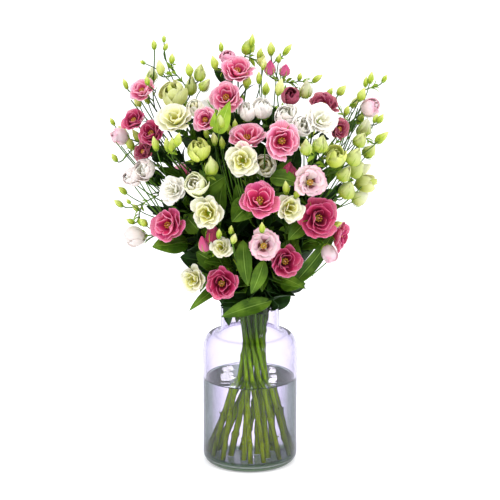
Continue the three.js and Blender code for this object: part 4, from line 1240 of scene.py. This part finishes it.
def green_look(name, stops, ribs, roughness):
    """Leaf tissue: a pale midrib with a few paler veins beside it that run its whole length, and
    a skin that is mottled from darker to lighter green with a slight waxy gloss."""
    def colour(tree):
        flat = node(tree, "ShaderNodeUVMap").outputs["UV"]
        across = node(tree, "ShaderNodeSeparateXYZ", links={0: flat}).outputs["X"]
        side = node(tree, "ShaderNodeMath", {1: 0.5}, {0: across}, operation="SUBTRACT")
        apart = node(tree, "ShaderNodeMath", links={0: side.outputs[0]}, operation="ABSOLUTE")
        veins = node(
            tree, "ShaderNodeValToRGB", links={"Fac": apart.outputs[0]},
            stops=[
                (0.0, "#ffffff"), (0.03, "#000000"), (0.15, "#000000"), (0.17, "#777777"),
                (0.19, "#000000"), (0.32, "#000000"), (0.335, "#555555"), (0.35, "#000000"),
            ],
        )
        place = node(tree, "ShaderNodeTexCoord").outputs["Object"]
        cloud = node(tree, "ShaderNodeTexNoise", {"Scale": 45.0, "Detail": 4.0}, {"Vector": place})
        tint = node(tree, "ShaderNodeValToRGB", stops=stops, links={"Fac": cloud.outputs["Fac"]})
        return node(
            tree, "ShaderNodeMix", {7: linear(ribs)},
            {0: veins.outputs["Color"], 6: tint.outputs["Color"]}, data_type="RGBA",
        ).outputs[2]

    values = {
        "Roughness": roughness, "Specular IOR Level": 0.14, "Subsurface Weight": 0.12,
        "Subsurface Radius": (0.001, 0.002, 0.0005), "Subsurface Scale": 1.0,
    }
    skin = ripple(scale=320, height=0.15, strength=0.3)
    return material(name, values, {"Base Color": colour, "Normal": skin})


# Fresh leaf green for leaves in the light, a darker copy of it that is painted shade for leaves
# inside the bunch, the lighter sepals, and the yellow-green of the half-open petals.
leaf_green = green_look(
    "leaf_green", [(0.3, "#2a4807"), (0.5, "#416010"), (0.7, "#618222")], "#86a648", 0.5
)
leaf_painted_shade = green_look(
    "leaf_green_painted_shade", [(0.3, "#0e2206"), (0.5, "#162f0a"), (0.7, "#264611")], "#3c5e20", 0.55
)
sepal_green = green_look(
    "sepal_green", [(0.3, "#6d8f1f"), (0.7, "#9fb93c")], "#b6cc66", 0.5
)
lime_petal = petal_look(
    "lime_petal", [(0.0, "#8aa61c"), (0.5, "#b9cb38"), (1.0, "#dbe07a")], "#9bb02c"
)
pale_lime_petal = petal_look(
    "pale_lime_petal", [(0.0, "#8ba222"), (0.45, "#bdc350"), (1.0, "#dfdf9c")], "#a9b640"
)
sepal_sheet = sheet_of("sepal", *SEPAL_FACES)
cup_body = body_of("cup", bpy.ops.mesh.primitive_uv_sphere_add, segments=10, ring_count=6)
sheets = {row[0]: [] for row in SPRAYS}
bodies = {row[0]: [] for row in SPRAYS}


def calyx(spray, seat, axis, reach, rise, width, height, length, sepal_width=SEPAL_WIDTH):
    """A small cup with five sepals that follow the outside of a flower of this outline."""
    _, u, v = sepal_sheet
    first, second = frame_at(axis)
    for turn in range(SEPALS):
        at = 2 * math.pi * (turn + 0.5) / SEPALS
        out_way = first * math.cos(at) + second * math.sin(at)
        side_way = second * math.cos(at) - first * math.sin(at)
        share = v * length
        out = cubic(reach, share)[:, 0] * width / 2 + SEPAL_OUT
        up = cubic(rise, share)[:, 0] * height - SEPAL_OUT * (1 - v)
        aside = u * sepal_width / 2 * np.maximum(1 - v, SEPAL_POINT) ** SEPAL_TAPER
        places = (
            seat + out_way * out[:, None] + axis * up[:, None] + side_way * aside[:, None]
        )
        sheets[spray].append(laid(sepal_sheet, places, sepal_green))
    size = max(CUP * width, CUP_LEAST)
    cup = stood(cup_body, seat, first, second, axis, (size, size, size), sepal_green)
    bodies[spray].append(cup)


for bloom in flowers:
    form = "rose" if bloom["form"] == "open" else bloom["form"]
    _, _, reach, rise, _ = WHORLS[form][0]
    calyx(
        bloom["spray"], bloom["seat"], bloom["axis"], reach, rise, bloom["width"],
        bloom["height"], SEPAL_LENGTH[bloom["form"]],
    )
for i, bloom in enumerate(half_open):
    base = bloom["seat"] - bloom["axis"] * HALF_OPEN_SINK
    looks = (pale_lime_petal if i in PALE_HALF_OPEN else lime_petal, lime_petal)
    sheets[bloom["spray"]] += petals(
        "closed", base, bloom["axis"], bloom["width"], bloom["height"], looks, HALF_OPEN_SEED + i
    )

# Buds: the petals are still furled about each other in a slim spindle with a twisted tip, green
# at the foot and paler or coloured above, and held by long thin sepals.
FAT_BUD = 15
FAT_BUD_FULLNESS = {"spray_right": 1.5, "spray_right_high": 1.4}
OTHER_FULLNESS = 1.18
BUD_SEED = 200
BUD_LOOKS = {
    "lime": petal_look(
        "lime_bud", [(0.0, "#768e1a"), (0.4, "#a6b836"), (1.0, "#e2e59c")], "#91a42e"
    ),
    "pale": petal_look(
        "pale_bud", [(0.0, "#8d9f28"), (0.4, "#c5cb6c"), (1.0, "#ebe6c4")], "#b2ba60"
    ),
    "pink": petal_look(
        "pink_bud", [(0.0, "#93993f"), (0.3, "#cf6a8d"), (1.0, "#cc3f72")], "#b83e66"
    ),
    "maroon": petal_look(
        "maroon_bud", [(0.0, "#6f1a30"), (0.4, "#8f2442"), (1.0, "#a8345a")], "#6a152c"
    ),
}
SLIM_REACH = (0.2, 1.0, 0.7, 0.05)
SLIM_RISE = (0.0, 0.2, 0.6, 1.0)
BUD_SEPAL_WIDTH = 1.7
SPINDLE_BELLY = 0.72
SPINDLE_FULLNESS = 0.8
SPINDLE_GROOVE = 0.09
SPINDLE_PETALS = 3
SPINDLE_TWIST = 5
SPINDLE_TIP = 0.6
SPINDLE_TAPER = (1.6, 1.3)
spindle = body_of("spindle", bpy.ops.mesh.primitive_uv_sphere_add, segments=12, ring_count=10)
ball = points_of(spindle)
along = (ball[:, 2] + 1) / 2
around = np.arctan2(ball[:, 1], ball[:, 0])
belly = np.sin(math.pi * np.clip(along, 0, 1) ** SPINDLE_BELLY) ** SPINDLE_FULLNESS
belly *= 1 + SPINDLE_GROOVE * np.cos(SPINDLE_PETALS * around + SPINDLE_TWIST * along)
taper = np.clip(SPINDLE_TAPER[0] - along * SPINDLE_TAPER[1], 0, 1)
belly *= SPINDLE_TIP + (1 - SPINDLE_TIP) * taper
spindle.vertices.foreach_set(
    "co", np.column_stack((belly * np.cos(around), belly * np.sin(around), along)).ravel()
)

for i, (spray, seat, axis, length, width, colour) in enumerate(buds):
    look = BUD_LOOKS[colour]
    if width >= FAT_BUD:
        width *= FAT_BUD_FULLNESS.get(spray, OTHER_FULLNESS)
        sheets[spray] += petals("bud", seat, axis, width, length, (look,), BUD_SEED + i)
        _, _, reach, rise, _ = WHORLS["bud"][0]
    else:
        first, second = frame_at(axis)
        half = width / 2
        body = stood(spindle, seat, first, second, axis, (half, half, length), look)
        bodies[spray].append(body)
        reach, rise = SLIM_REACH, SLIM_RISE
    calyx(spray, seat, axis, reach, rise, width, length, SEPAL_LENGTH["bud"], BUD_SEPAL_WIDTH)

# Leaves: smooth, oval and pointed, folded a little along the midrib and waved at the edge. They
# sit on the stalks without stalks of their own, and hang over the mouth of the vase.
# Spray, view point and depth of the tip, view point near the root, width.
LEAVES = [
    ("spray_middle", 236, 204, -112, 244, 236, 34),
    ("spray_middle", 284, 192, -70, 268, 226, 30),
    ("spray_left_front", 178, 158, -66, 204, 196, 26),
    ("spray_left_front", 226, 176, -76, 222, 218, 28),
    ("spray_left_low", 158, 246, -78, 196, 246, 30),
    ("spray_low_left", 189, 311, -76, 226, 276, 20),
    ("spray_low_left", 247, 268, -96, 241, 238, 26),
    ("spray_low_left", 204, 262, -92, 232, 262, 20),
    ("spray_front", 262, 292, -82, 258, 266, 20),
    ("spray_front", 306, 289, -84, 270, 274, 22),
    ("spray_right_low", 330, 240, -42, 297, 243, 26),
    ("spray_right_low", 293, 284, -64, 284, 249, 27),
    ("spray_right", 341, 206, -26, 305, 214, 23),
    ("spray_right_high", 340, 166, -20, 312, 186, 22),
    ("spray_left", 152, 214, -24, 190, 222, 24),
    ("spray_left_high", 158, 168, 0, 190, 186, 22),
    ("spray_top_right", 300, 128, 10, 276, 150, 24),
    ("spray_top", 228, 118, 24, 238, 140, 24),
    ("spray_top_left", 190, 128, 4, 214, 150, 24),
    ("spray_back_left", 180, 216, 92, 214, 226, 28),
    ("spray_back_left", 226, 158, 104, 226, 196, 30),
    ("spray_back_left", 208, 256, 102, 230, 250, 28),
    ("spray_back_right", 302, 212, 88, 276, 222, 30),
    ("spray_back_right", 276, 146, 100, 270, 190, 28),
    ("spray_back_right", 290, 264, 84, 268, 254, 28),
]
# Leaves that hang in the vase's mouth: spray, tip and root as x, y, z, width.
MOUTH_LEAVES = [
    ("spray_low_left", -20, -28, 222, 4, -22, 252, 17),
    ("spray_front", 26, -27, 224, 6, -18, 262, 15),
    ("spray_left_low", -33, -4, 232, -12, -12, 252, 15),
    ("spray_right", 33, 6, 228, 18, 4, 250, 15),
    ("spray_back_right", 12, 32, 228, 8, 14, 250, 15),
]
LEAF_FACES = (8, 14)
LEAF_WAVE = 0.1
LEAF_WAVES = 9
LEAF_FOLD = 0.24
LEAF_FOLD_CURVE = 1.6
LEAF_BOW = 0.22
LEAF_BOW_PLACE = 0.45
LEAF_BELLY = 0.8
LEAF_FULLNESS = 0.85
LEAF_TURNS = 7
LEAF_TURN = math.radians(22)
LEAF_SIZES = (1, 0.8, 0.62)
LEAF_BALL_SIDES = (-0.75, -0.25, 0.25, 0.75)
LEAF_BALL_ROWS = 10
LEAF_BALL_FIRST = 2
LEAF_BALL = 0.28
LEAF_OUTWARD = 0.8
LEAF_FORWARD = -0.4
LEAF_UPWARD = 0.9
MOUTH_LEAF_SEED = 50
NEAR_ZERO = 1e-6
leaf_sheet = sheet_of("leaf", *LEAF_FACES)


def leaf_width(along):
    """How wide a leaf is along its length, as a share of its width."""
    along = np.clip(along, NEAR_ZERO, 1 - NEAR_ZERO)
    return np.sin(math.pi * along ** LEAF_BELLY) ** LEAF_FULLNESS


def midrib(points, share):
    """Places and ways ahead along the curve that three points guide."""
    a, b, c = points
    t = np.atleast_1d(share)[:, None]
    places = a * (1 - t) ** 2 + 2 * b * t * (1 - t) + c * t ** 2
    ways = (b - a) * (1 - t) + (c - b) * t
    return places, ways / np.linalg.norm(ways, axis=1)[:, None]


def leaf_frame(points, face, share):
    """Places along a leaf's midrib, with the ways across the leaf and out of its face."""
    places, ahead = midrib(points, share)
    across = np.cross(ahead, face)
    across /= np.linalg.norm(across, axis=1)[:, None]
    return places, across, np.cross(across, ahead)


def leaf_balls(points, face, width):
    """Balls that fill a leaf's blade, to keep it clear of what already stands."""
    share = np.arange(LEAF_BALL_FIRST, LEAF_BALL_ROWS) / LEAF_BALL_ROWS
    places, across, _ = leaf_frame(points, face, share)
    half = width / 2 * leaf_width(share)
    spots = [places + across * (side * half)[:, None] for side in LEAF_BALL_SIDES]
    return np.vstack(spots), np.tile(half * LEAF_BALL + 1, len(LEAF_BALL_SIDES))


def around_axis(vector, axis, angle):
    """The vector turned about the axis by an angle in radians."""
    return (
        vector * math.cos(angle) + np.cross(axis, vector) * math.sin(angle)
        + axis * (axis @ vector) * (1 - math.cos(angle))
    )


def grow_leaf(spray, root, tip, width, seed):
    """A leaf turns about its length, and shrinks if it must, until it is clear of the others."""
    face = unit(np.array((root[0], root[1], 0.0))) * LEAF_OUTWARD
    face = unit(face + np.array((0, LEAF_FORWARD, LEAF_UPWARD)))
    ahead = unit(tip - root)
    bow = (ahead * LEAF_BOW_PLACE + face * LEAF_BOW) * np.linalg.norm(tip - root)
    others = others_of(spray, "leaf")
    for turn in range(LEAF_TURNS):
        angle = math.ceil(turn / 2) * (1 if turn % 2 == 0 else -1) * LEAF_TURN
        turned_face = around_axis(face, ahead, angle)
        points = [root, root + around_axis(bow, ahead, angle), tip]
        for size in LEAF_SIZES:
            places, radii = leaf_balls(points, turned_face, width * size)
            if room_around(places, radii, others) > CLEARANCE:
                for place, radius in zip(places, radii):
                    stand(spray, "green", [place], radius)
                lay_leaf(spray, points, turned_face, width * size, seed)
                return


def lay_leaf(spray, points, face, width, seed, sheet=leaf_sheet, look=leaf_green):
    """Adds a leaf along its midrib, folded up from it and waved at the edge."""
    _, u, v = sheet
    phase = np.random.default_rng(seed).uniform(0, 2 * math.pi)
    places, across, out = leaf_frame(points, face, v)
    half = width / 2 * leaf_width(v)
    lift = LEAF_FOLD * np.abs(u) ** LEAF_FOLD_CURVE
    lift += LEAF_WAVE * u * np.sin(LEAF_WAVES * v + phase) * np.abs(u)
    spots = places + across * (u * half)[:, None] + out * (lift * half)[:, None]
    sheets[spray].append(laid(sheet, spots, look))


# The leaves stand in opposite pairs, each pair turned a right angle from the one below, all the
# way up the stems, and small bracts stand in pairs on the flower stalks.
PAIR_LOWEST = 236
PAIR_SPACING = 15
PAIR_LENGTH = (46, 76)
PAIR_WIDTH = (0.42, 0.58)
PAIR_SPREAD = 0.72
PAIR_TRIES = 5
PAIR_TOP_GAP = 4
PAIR_SHIFT = (-6, 6)
PAIR_TURN = (-40, 40)
PAIR_FAN = 0.7
PAIR_RISE = (0.1, 0.9)
PAIR_OUTWARD = 0.8
PAIR_UPWARD = 0.7
PAIR_SIZES = (1.0, 0.75, 0.55)
PAIR_CLOSENESS = 0.6
BRACT_PLACES = (4, 9, 14, 20)
BRACT_LENGTH = (24, 46)
BRACT_WIDTH = (0.3, 0.42)
BRACT_FACES = (4, 8)
BRACT_SPREAD = 0.8
TWIG_BRACT = 0.36
TWIG_BRACT_PLACES = BRACT_PLACES[1:3]
FOLIAGE_SEED = 300
SEED_RANGE = 1 << 30
HIDING = 0.72
HIDDEN_BEHIND = 200
FRONT_DEPTH = -45
SHADED_ONE_IN = 4
HEADS = [
    (point, radius) for _, owner, point, radius in standing
    if owner.startswith(("bloom", "half"))
]
HEADS += [
    (seat + axis * length * 0.5, width / 2) for _, seat, axis, length, width, _ in buds
]
HEAD_PLACES = np.array([point for point, _ in HEADS])
HEAD_SIZES = np.array([radius for _, radius in HEADS])


def view_of(points):
    """Where points in millimetres show in the view, and how far ahead of the eye they are."""
    away = np.asarray(points) - (0, -EYE_BACK, EYE_UP)
    ahead = away[:, 1] * math.cos(EYE_PITCH) - away[:, 2] * math.sin(EYE_PITCH)
    up = away[:, 1] * math.sin(EYE_PITCH) + away[:, 2] * math.cos(EYE_PITCH)
    px = VIEW_MIDDLE + VIEW_FOCUS * away[:, 0] / ahead
    return px, VIEW_MIDDLE - VIEW_FOCUS * up / ahead, ahead


SHOWN = view_of([f["seat"] + f["axis"] * f["height"] * FACE_HEIGHT for f in flowers])
SHOWN_SIZE = np.array([f["width"] / 2 * HIDING for f in flowers]) * VIEW_FOCUS / SHOWN[2]


def hides_a_bloom(points):
    """Whether any of the points shows in front of a flower that isn't far behind."""
    px, py, far = view_of(points)
    near = np.hypot(px[:, None] - SHOWN[0], py[:, None] - SHOWN[1]) < SHOWN_SIZE
    before = (far[:, None] < SHOWN[2]) & (SHOWN[2] < EYE_BACK + HIDDEN_BEHIND)
    return bool((near & before).any())


def grow_pair_leaf(spray, root, way, length, width, seed, sheet):
    """A leaf of a pair, if it is clear of every flower and hides none."""
    outward = unit(np.array((root[0], root[1], 0.0))) * PAIR_OUTWARD + (0, 0, PAIR_UPWARD)
    face = unit(outward - way * (outward @ way))
    for size in PAIR_SIZES:
        tip = root + way * length * size
        bow = way * length * size / 2 + face * length * size * LEAF_BOW
        points = [root, root + bow, tip]
        places, radii = leaf_balls(points, face, width * size)
        room = room_around(places, radii * PAIR_CLOSENESS, (HEAD_PLACES, HEAD_SIZES))
        if room < CLEARANCE or hides_a_bloom(places):
            continue
        # Leaves behind the front, and one in so many of those in front, take the darker green as
        # painted shade.
        front = places[:, 1].mean() < FRONT_DEPTH
        look = leaf_green if front and seed % SHADED_ONE_IN else leaf_painted_shade
        if length < TWIG_BRACT * BRACT_LENGTH[1]:
            look = sepal_green
        lay_leaf(spray, points, face, width * size, seed, sheet, look)
        return True
    return False


bract_sheet = sheet_of("bract", *BRACT_FACES)


def grow_foliage(spray, seed):
    """The leaf pairs up a spray's stem, and the bracts on its stalks and twigs."""
    chance = np.random.default_rng(seed)
    _, smooth = lines[spray][0]
    rise = smooth[:, 2]
    heights = np.arange(PAIR_LOWEST, rise[-1] - PAIR_TOP_GAP, PAIR_SPACING)
    for number, height in enumerate(heights):
        at = int(np.searchsorted(rise, height + chance.uniform(*PAIR_SHIFT)))
        root = smooth[min(at, len(smooth) - 1)]
        outward = unit(np.array((root[0] - WAIST_SHIFT, root[1], 0.0)))
        for side in (0, 1):
            for turn in range(PAIR_TRIES):
                turned = (number % 2) * 90 + side * 180 + 45 + chance.uniform(*PAIR_TURN)
                around = around_axis(outward, np.array((0, 0, 1.0)), math.radians(turned))
                out = unit(around + outward * PAIR_FAN)
                way = unit(out * PAIR_SPREAD + np.array((0, 0, chance.uniform(*PAIR_RISE))))
                length = chance.uniform(*PAIR_LENGTH)
                width = length * chance.uniform(*PAIR_WIDTH)
                seed = int(chance.integers(SEED_RANGE))
                if grow_pair_leaf(spray, root, way, length, width, seed, leaf_sheet):
                    break
    pedicels = sum(bloom["spray"] == spray for bloom in flowers)
    for number, (_, stalk) in enumerate(lines[spray][1:]):
        small = 1.0 if number < pedicels else TWIG_BRACT
        for place in BRACT_PLACES if number < pedicels else TWIG_BRACT_PLACES:
            root = stalk[place]
            ahead = unit(stalk[place + 1] - stalk[place - 1])
            side = unit(np.cross(ahead, chance.normal(size=3)))
            for way in (side, -side):
                length = chance.uniform(*BRACT_LENGTH) * small
                width = length * chance.uniform(*BRACT_WIDTH)
                grow_pair_leaf(
                    spray, root, unit(ahead + way * BRACT_SPREAD), length, width,
                    int(chance.integers(SEED_RANGE)), bract_sheet,
                )


for i, (spray, px, py, y, root_px, root_py, width) in enumerate(LEAVES):
    root = nearest_root(spray, seen(root_px, root_py, y / 2))
    grow_leaf(spray, root[0], seen(px, py, y), width, i)
for i, (spray, *spots, width) in enumerate(MOUTH_LEAVES):
    root = nearest_root(spray, np.array(spots[3:], float))
    grow_leaf(spray, root[0], np.array(spots[:3], float), width, MOUTH_LEAF_SEED + i)
for i, row in enumerate(SPRAYS):
    grow_foliage(row[0], FOLIAGE_SEED + i)
# Broad leaves that show between the flowers and low at the sides of the bunch, one that hangs in
# the vase's neck and one that lies over it.
# Spray, view point and depth of the root, then of the tip, width, and the way the leaf faces.
BROAD_LEAVES = [
    ("spray_left_low", 188, 242, -52, 152, 247, -72, 34, (-0.1, -0.9, 0.45)),
    ("spray_low_left", 268, 298, -28, 220, 306, -48, 30, (-0.1, -0.8, 0.6)),
    ("spray_low_left", 232, 296, -40, 229, 326, -32, 18, (-0.5, -0.9, 0.1)),
    ("spray_low_left", 272, 301, -50, 221, 317, -62, 25, (0.05, -0.9, 0.45)),
    ("spray_right_low", 291, 286, -46, 338, 226, -50, 22, (0.35, -0.9, 0.3)),
    ("spray_middle", 252, 204, -84, 232, 222, -110, 38, (-0.2, -0.9, 0.4)),
    ("spray_middle", 270, 178, -84, 300, 184, -96, 28, (0.2, -0.8, 0.6)),
    ("spray_right_low", 306, 222, -76, 288, 240, -92, 24, (0.1, -0.9, 0.4)),
    ("spray_low_left", 243, 240, -86, 248, 286, -92, 24, (-0.2, -0.95, 0.1)),
    ("spray_front", 264, 260, -84, 251, 294, -86, 22, (0.2, -0.95, 0.1)),
    ("spray_front", 280, 284, -50, 306, 284, -66, 24, (0.2, -0.9, 0.4)),
    ("spray_left_front", 205, 190, -60, 226, 176, -72, 30, (0.1, -0.9, 0.4)),
    ("spray_left_low", 200, 232, -60, 184, 214, -56, 28, (-0.2, -0.9, 0.4)),
    ("spray_low_left", 214, 262, -70, 196, 252, -72, 28, (-0.2, -0.9, 0.4)),
    ("spray_left_low", 206, 240, -30, 180, 250, -34, 36, (-0.2, -0.9, 0.3)),
    ("spray_left_low", 204, 250, -20, 178, 240, -20, 34, (-0.2, -0.9, 0.3)),
    ("spray_low_left", 212, 268, -30, 184, 262, -40, 28, (-0.2, -0.9, 0.3)),
    ("spray_back_left", 224, 205, 20, 240, 176, 20, 40, (0.1, -0.9, 0.3)),
    ("spray_back_left", 220, 200, 10, 226, 164, 10, 36, (0.1, -0.9, 0.3)),
    ("spray_back_left", 214, 170, 10, 190, 146, 0, 34, (-0.1, -0.9, 0.3)),
    ("spray_top_left", 216, 164, 0, 198, 168, -10, 30, (-0.1, -0.9, 0.3)),
    ("spray_back_right", 262, 172, 20, 256, 140, 20, 40, (0.1, -0.9, 0.3)),
    ("spray_back_right", 276, 180, 10, 300, 150, 10, 38, (0.1, -0.9, 0.3)),
    ("spray_right_high", 288, 176, -10, 298, 146, -10, 26, (0.1, -0.9, 0.3)),
    ("spray_left", 184, 222, -10, 146, 206, -20, 20, (-0.1, -0.9, 0.3)),
    ("spray_top", 240, 130, 10, 222, 108, 0, 26, (-0.1, -0.9, 0.3)),
    ("spray_top_right", 270, 136, 0, 276, 106, -10, 26, (0.1, -0.9, 0.3)),
    ("spray_middle", 244, 214, -60, 236, 184, -80, 30, (0.1, -0.9, 0.3)),
    ("spray_top", 240, 132, -10, 262, 116, -20, 26, (0.1, -0.9, 0.3)),
    ("spray_top_right", 270, 136, -10, 288, 124, -30, 24, (0.1, -0.9, 0.3)),
    ("spray_left_low", 208, 262, -40, 180, 257, -46, 32, (-0.2, -0.9, 0.3)),
    ("spray_left_low", 204, 246, -44, 182, 242, -50, 26, (-0.2, -0.9, 0.3)),
    ("spray_right", 312, 206, -30, 336, 190, -20, 26, (0.2, -0.9, 0.3)),
    ("spray_right", 308, 200, -20, 326, 170, -10, 26, (0.2, -0.9, 0.3)),
]
# Two large sepals that stand round a green bud at the upper left, with the same columns.
SEPAL_LEAVES = [
    ("spray_top_left", 219, 134, -94, 230, 101, -112, 21, (-0.1, -1.0, 0.1)),
    ("spray_top_left", 217, 133, -94, 215, 112, -108, 13, (-0.5, -0.9, 0.1)),
]
BROAD_LEAF_SEED = 500
for i, (spray, *spots, width, faces) in enumerate(BROAD_LEAVES + SEPAL_LEAVES):
    root, tip = seen(*spots[:3]), seen(*spots[3:])
    way = tip - root
    face = unit(np.array(faces) - way * (np.array(faces) @ way) / (way @ way))
    points = [root, root + way / 2 + face * LEAF_BOW * np.linalg.norm(way), tip]
    # Leaves rooted behind the front take the darker green as painted shade.
    look = leaf_green if spots[2] < FRONT_DEPTH else leaf_painted_shade
    if i >= len(BROAD_LEAVES):
        look = sepal_green
    lay_leaf(spray, points, face, width, BROAD_LEAF_SEED + i, look=look)

# Sprays: each stem with all that grows from it is one piece, dressed in the stem's streaky rind,
# with painted light and shade in its colour: brightened to yellow-green down in the water and
# darkened to deep green higher up in the shade of the bunch.
RIND_PAINTED_LIGHT_STOPS = [
    (0.0, "#c4e000"), (0.19, "#a8d000"), (0.26, "#84b404"), (0.35, "#56840a"), (1.0, "#406416"),
]
RIND_HEIGHT = 0.6


def rind_painted_light_colour(tree):
    place = node(tree, "ShaderNodeTexCoord").outputs["Object"]
    high = node(tree, "ShaderNodeSeparateXYZ", links={0: place}).outputs["Z"]
    share = node(tree, "ShaderNodeMath", {1: 1 / RIND_HEIGHT}, {0: high}, operation="MULTIPLY")
    tint = node(tree, "ShaderNodeValToRGB", stops=RIND_PAINTED_LIGHT_STOPS, links={"Fac": share.outputs[0]})
    # Streaks along the rind, whose tone also differs from stem to stem, partly as painted shade
    # between neighbouring stems.
    long = node(tree, "ShaderNodeMapping", {"Scale": (260, 260, 14)}, {"Vector": place})
    streak = node(tree, "ShaderNodeTexNoise", {"Scale": 1.0}, {"Vector": long.outputs["Vector"]})
    dark = node(
        tree, "ShaderNodeMapRange", {1: 0.35, 2: 0.65, 3: 0.5, 4: 1.2}, {0: streak.outputs["Fac"]}
    )
    # Painted shade: each stem darkens towards its outline, as if lit round its curve.
    round_off = node(tree, "ShaderNodeLayerWeight", {"Blend": 0.5}).outputs["Facing"]
    edge = node(tree, "ShaderNodeMapRange", {1: 0.15, 2: 0.8, 3: 1.2, 4: 0.16}, {0: round_off})
    shade = node(
        tree, "ShaderNodeMath", links={0: dark.outputs[0], 1: edge.outputs[0]},
        operation="MULTIPLY",
    )
    return node(
        tree, "ShaderNodeMix", {0: 1.0}, {6: tint.outputs["Color"], 7: shade.outputs[0]},
        data_type="RGBA", blend_type="MULTIPLY",
    ).outputs[2]


stem_rind_painted_light = material(
    "stem_rind_painted_light", {"Roughness": 0.45, "Specular IOR Level": 0.25}, {"Base Color": rind_painted_light_colour}
)


def rods(spray):
    """The stem and stalks of a spray, as round rods along their lines."""
    data = bpy.data.curves.new(f"{spray}_rods", "CURVE")
    data.dimensions = "3D"
    data.bevel_depth = MM
    data.bevel_resolution = 2
    data.use_fill_caps = True
    for points, radii in tubes[spray]:
        spline = data.splines.new("POLY")
        spline.points.add(len(points) - 1)
        places = np.column_stack((points * MM, np.ones(len(points))))
        spline.points.foreach_set("co", places.ravel())
        spline.points.foreach_set("radius", np.array(radii, float))
    made = linked(data.name, data)
    deselect()
    made.select_set(True)
    bpy.context.view_layer.objects.active = made
    bpy.ops.object.convert(target="MESH")
    bpy.ops.object.shade_smooth_by_angle(angle=SOFT_EDGE)
    bpy.context.object.data.materials.append(stem_rind_painted_light)
    return bpy.context.object


for spray in sheets:
    blades = thickened(sheets[spray], f"{spray}_blades", GREEN_THICKNESS)
    whole = gathered([blades, rods(spray)] + bodies[spray], f"{spray}_growth")
    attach(whole, "root")
    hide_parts(spray)

# Studio: a wide white floor that runs out of view, an even bright sky, three softboxes in front
# and above, and two small oval windows behind, which the water mirrors as white patches.
FLOOR_SIDE = 60
SKY_STRENGTH = 1.08
LIGHTS_AIM = Vector((0, 0, 0.35))
GLOW_NEAR = (0.5, 0.3)
GLOW_FAR = (4.0, 0.38)
deselect()
bpy.ops.mesh.primitive_plane_add(size=FLOOR_SIDE)
floor = bpy.context.object
floor.name = "floor"
# Matt white paper sweep, with the faintest cloudiness.
paper = speckled(
    "white_paper", [(0.0, "#f4f4f6"), (1.0, "#fbfbfc")], 2,
    {"Roughness": 0.9, "Emission Color": linear("#ffffff")},
)
# It glows a little, more so farther from the lamps, and so is evenly white all over.
place = node(paper.node_tree, "ShaderNodeTexCoord").outputs["Object"]
far = node(paper.node_tree, "ShaderNodeVectorMath", links={0: place}, operation="LENGTH")
glow = node(
    paper.node_tree, "ShaderNodeMapRange",
    {1: GLOW_NEAR[0], 2: GLOW_FAR[0], 3: GLOW_NEAR[1], 4: GLOW_FAR[1]}, {0: far.outputs["Value"]},
)
paper.node_tree.links.new(
    glow.outputs[0], paper.node_tree.nodes["Principled BSDF"].inputs["Emission Strength"]
)
floor.data.materials.append(paper)

world = bpy.data.worlds.new("studio")
bpy.context.scene.world = world
world.use_nodes = True
world.node_tree.nodes["Background"].inputs["Color"].default_value = linear("#f4f5f8")
world.node_tree.nodes["Background"].inputs["Strength"].default_value = SKY_STRENGTH
bpy.context.scene.view_settings.view_transform = "Standard"

SOFTBOXES = [
    ("key_softbox", (-1.5, -1.6, 1.9), 21, (0.7, 1.2)),
    ("fill_softbox", (1.6, -1.5, 1.8), 24, (0.7, 1.2)),
    ("top_softbox", (0.0, 0.3, 2.6), 15, (1.6, 1.2)),
    ("left_window", (-0.125, 2.5, 0.915), 0.12, (0.09, 0.08)),
    ("right_window", (0.125, 2.5, 0.93), 0.08, (0.05, 0.07)),
]
for name, place, power, size in SOFTBOXES:
    light = bpy.data.lights.new(name, "AREA")
    light.shape = "ELLIPSE" if "window" in name else "RECTANGLE"
    light.size, light.size_y = size
    light.energy = power
    box = linked(name, light)
    box.location = place
    box.rotation_euler = (LIGHTS_AIM - Vector(place)).to_track_quat("-Z", "Y").to_euler()

bpy.context.view_layer.update()
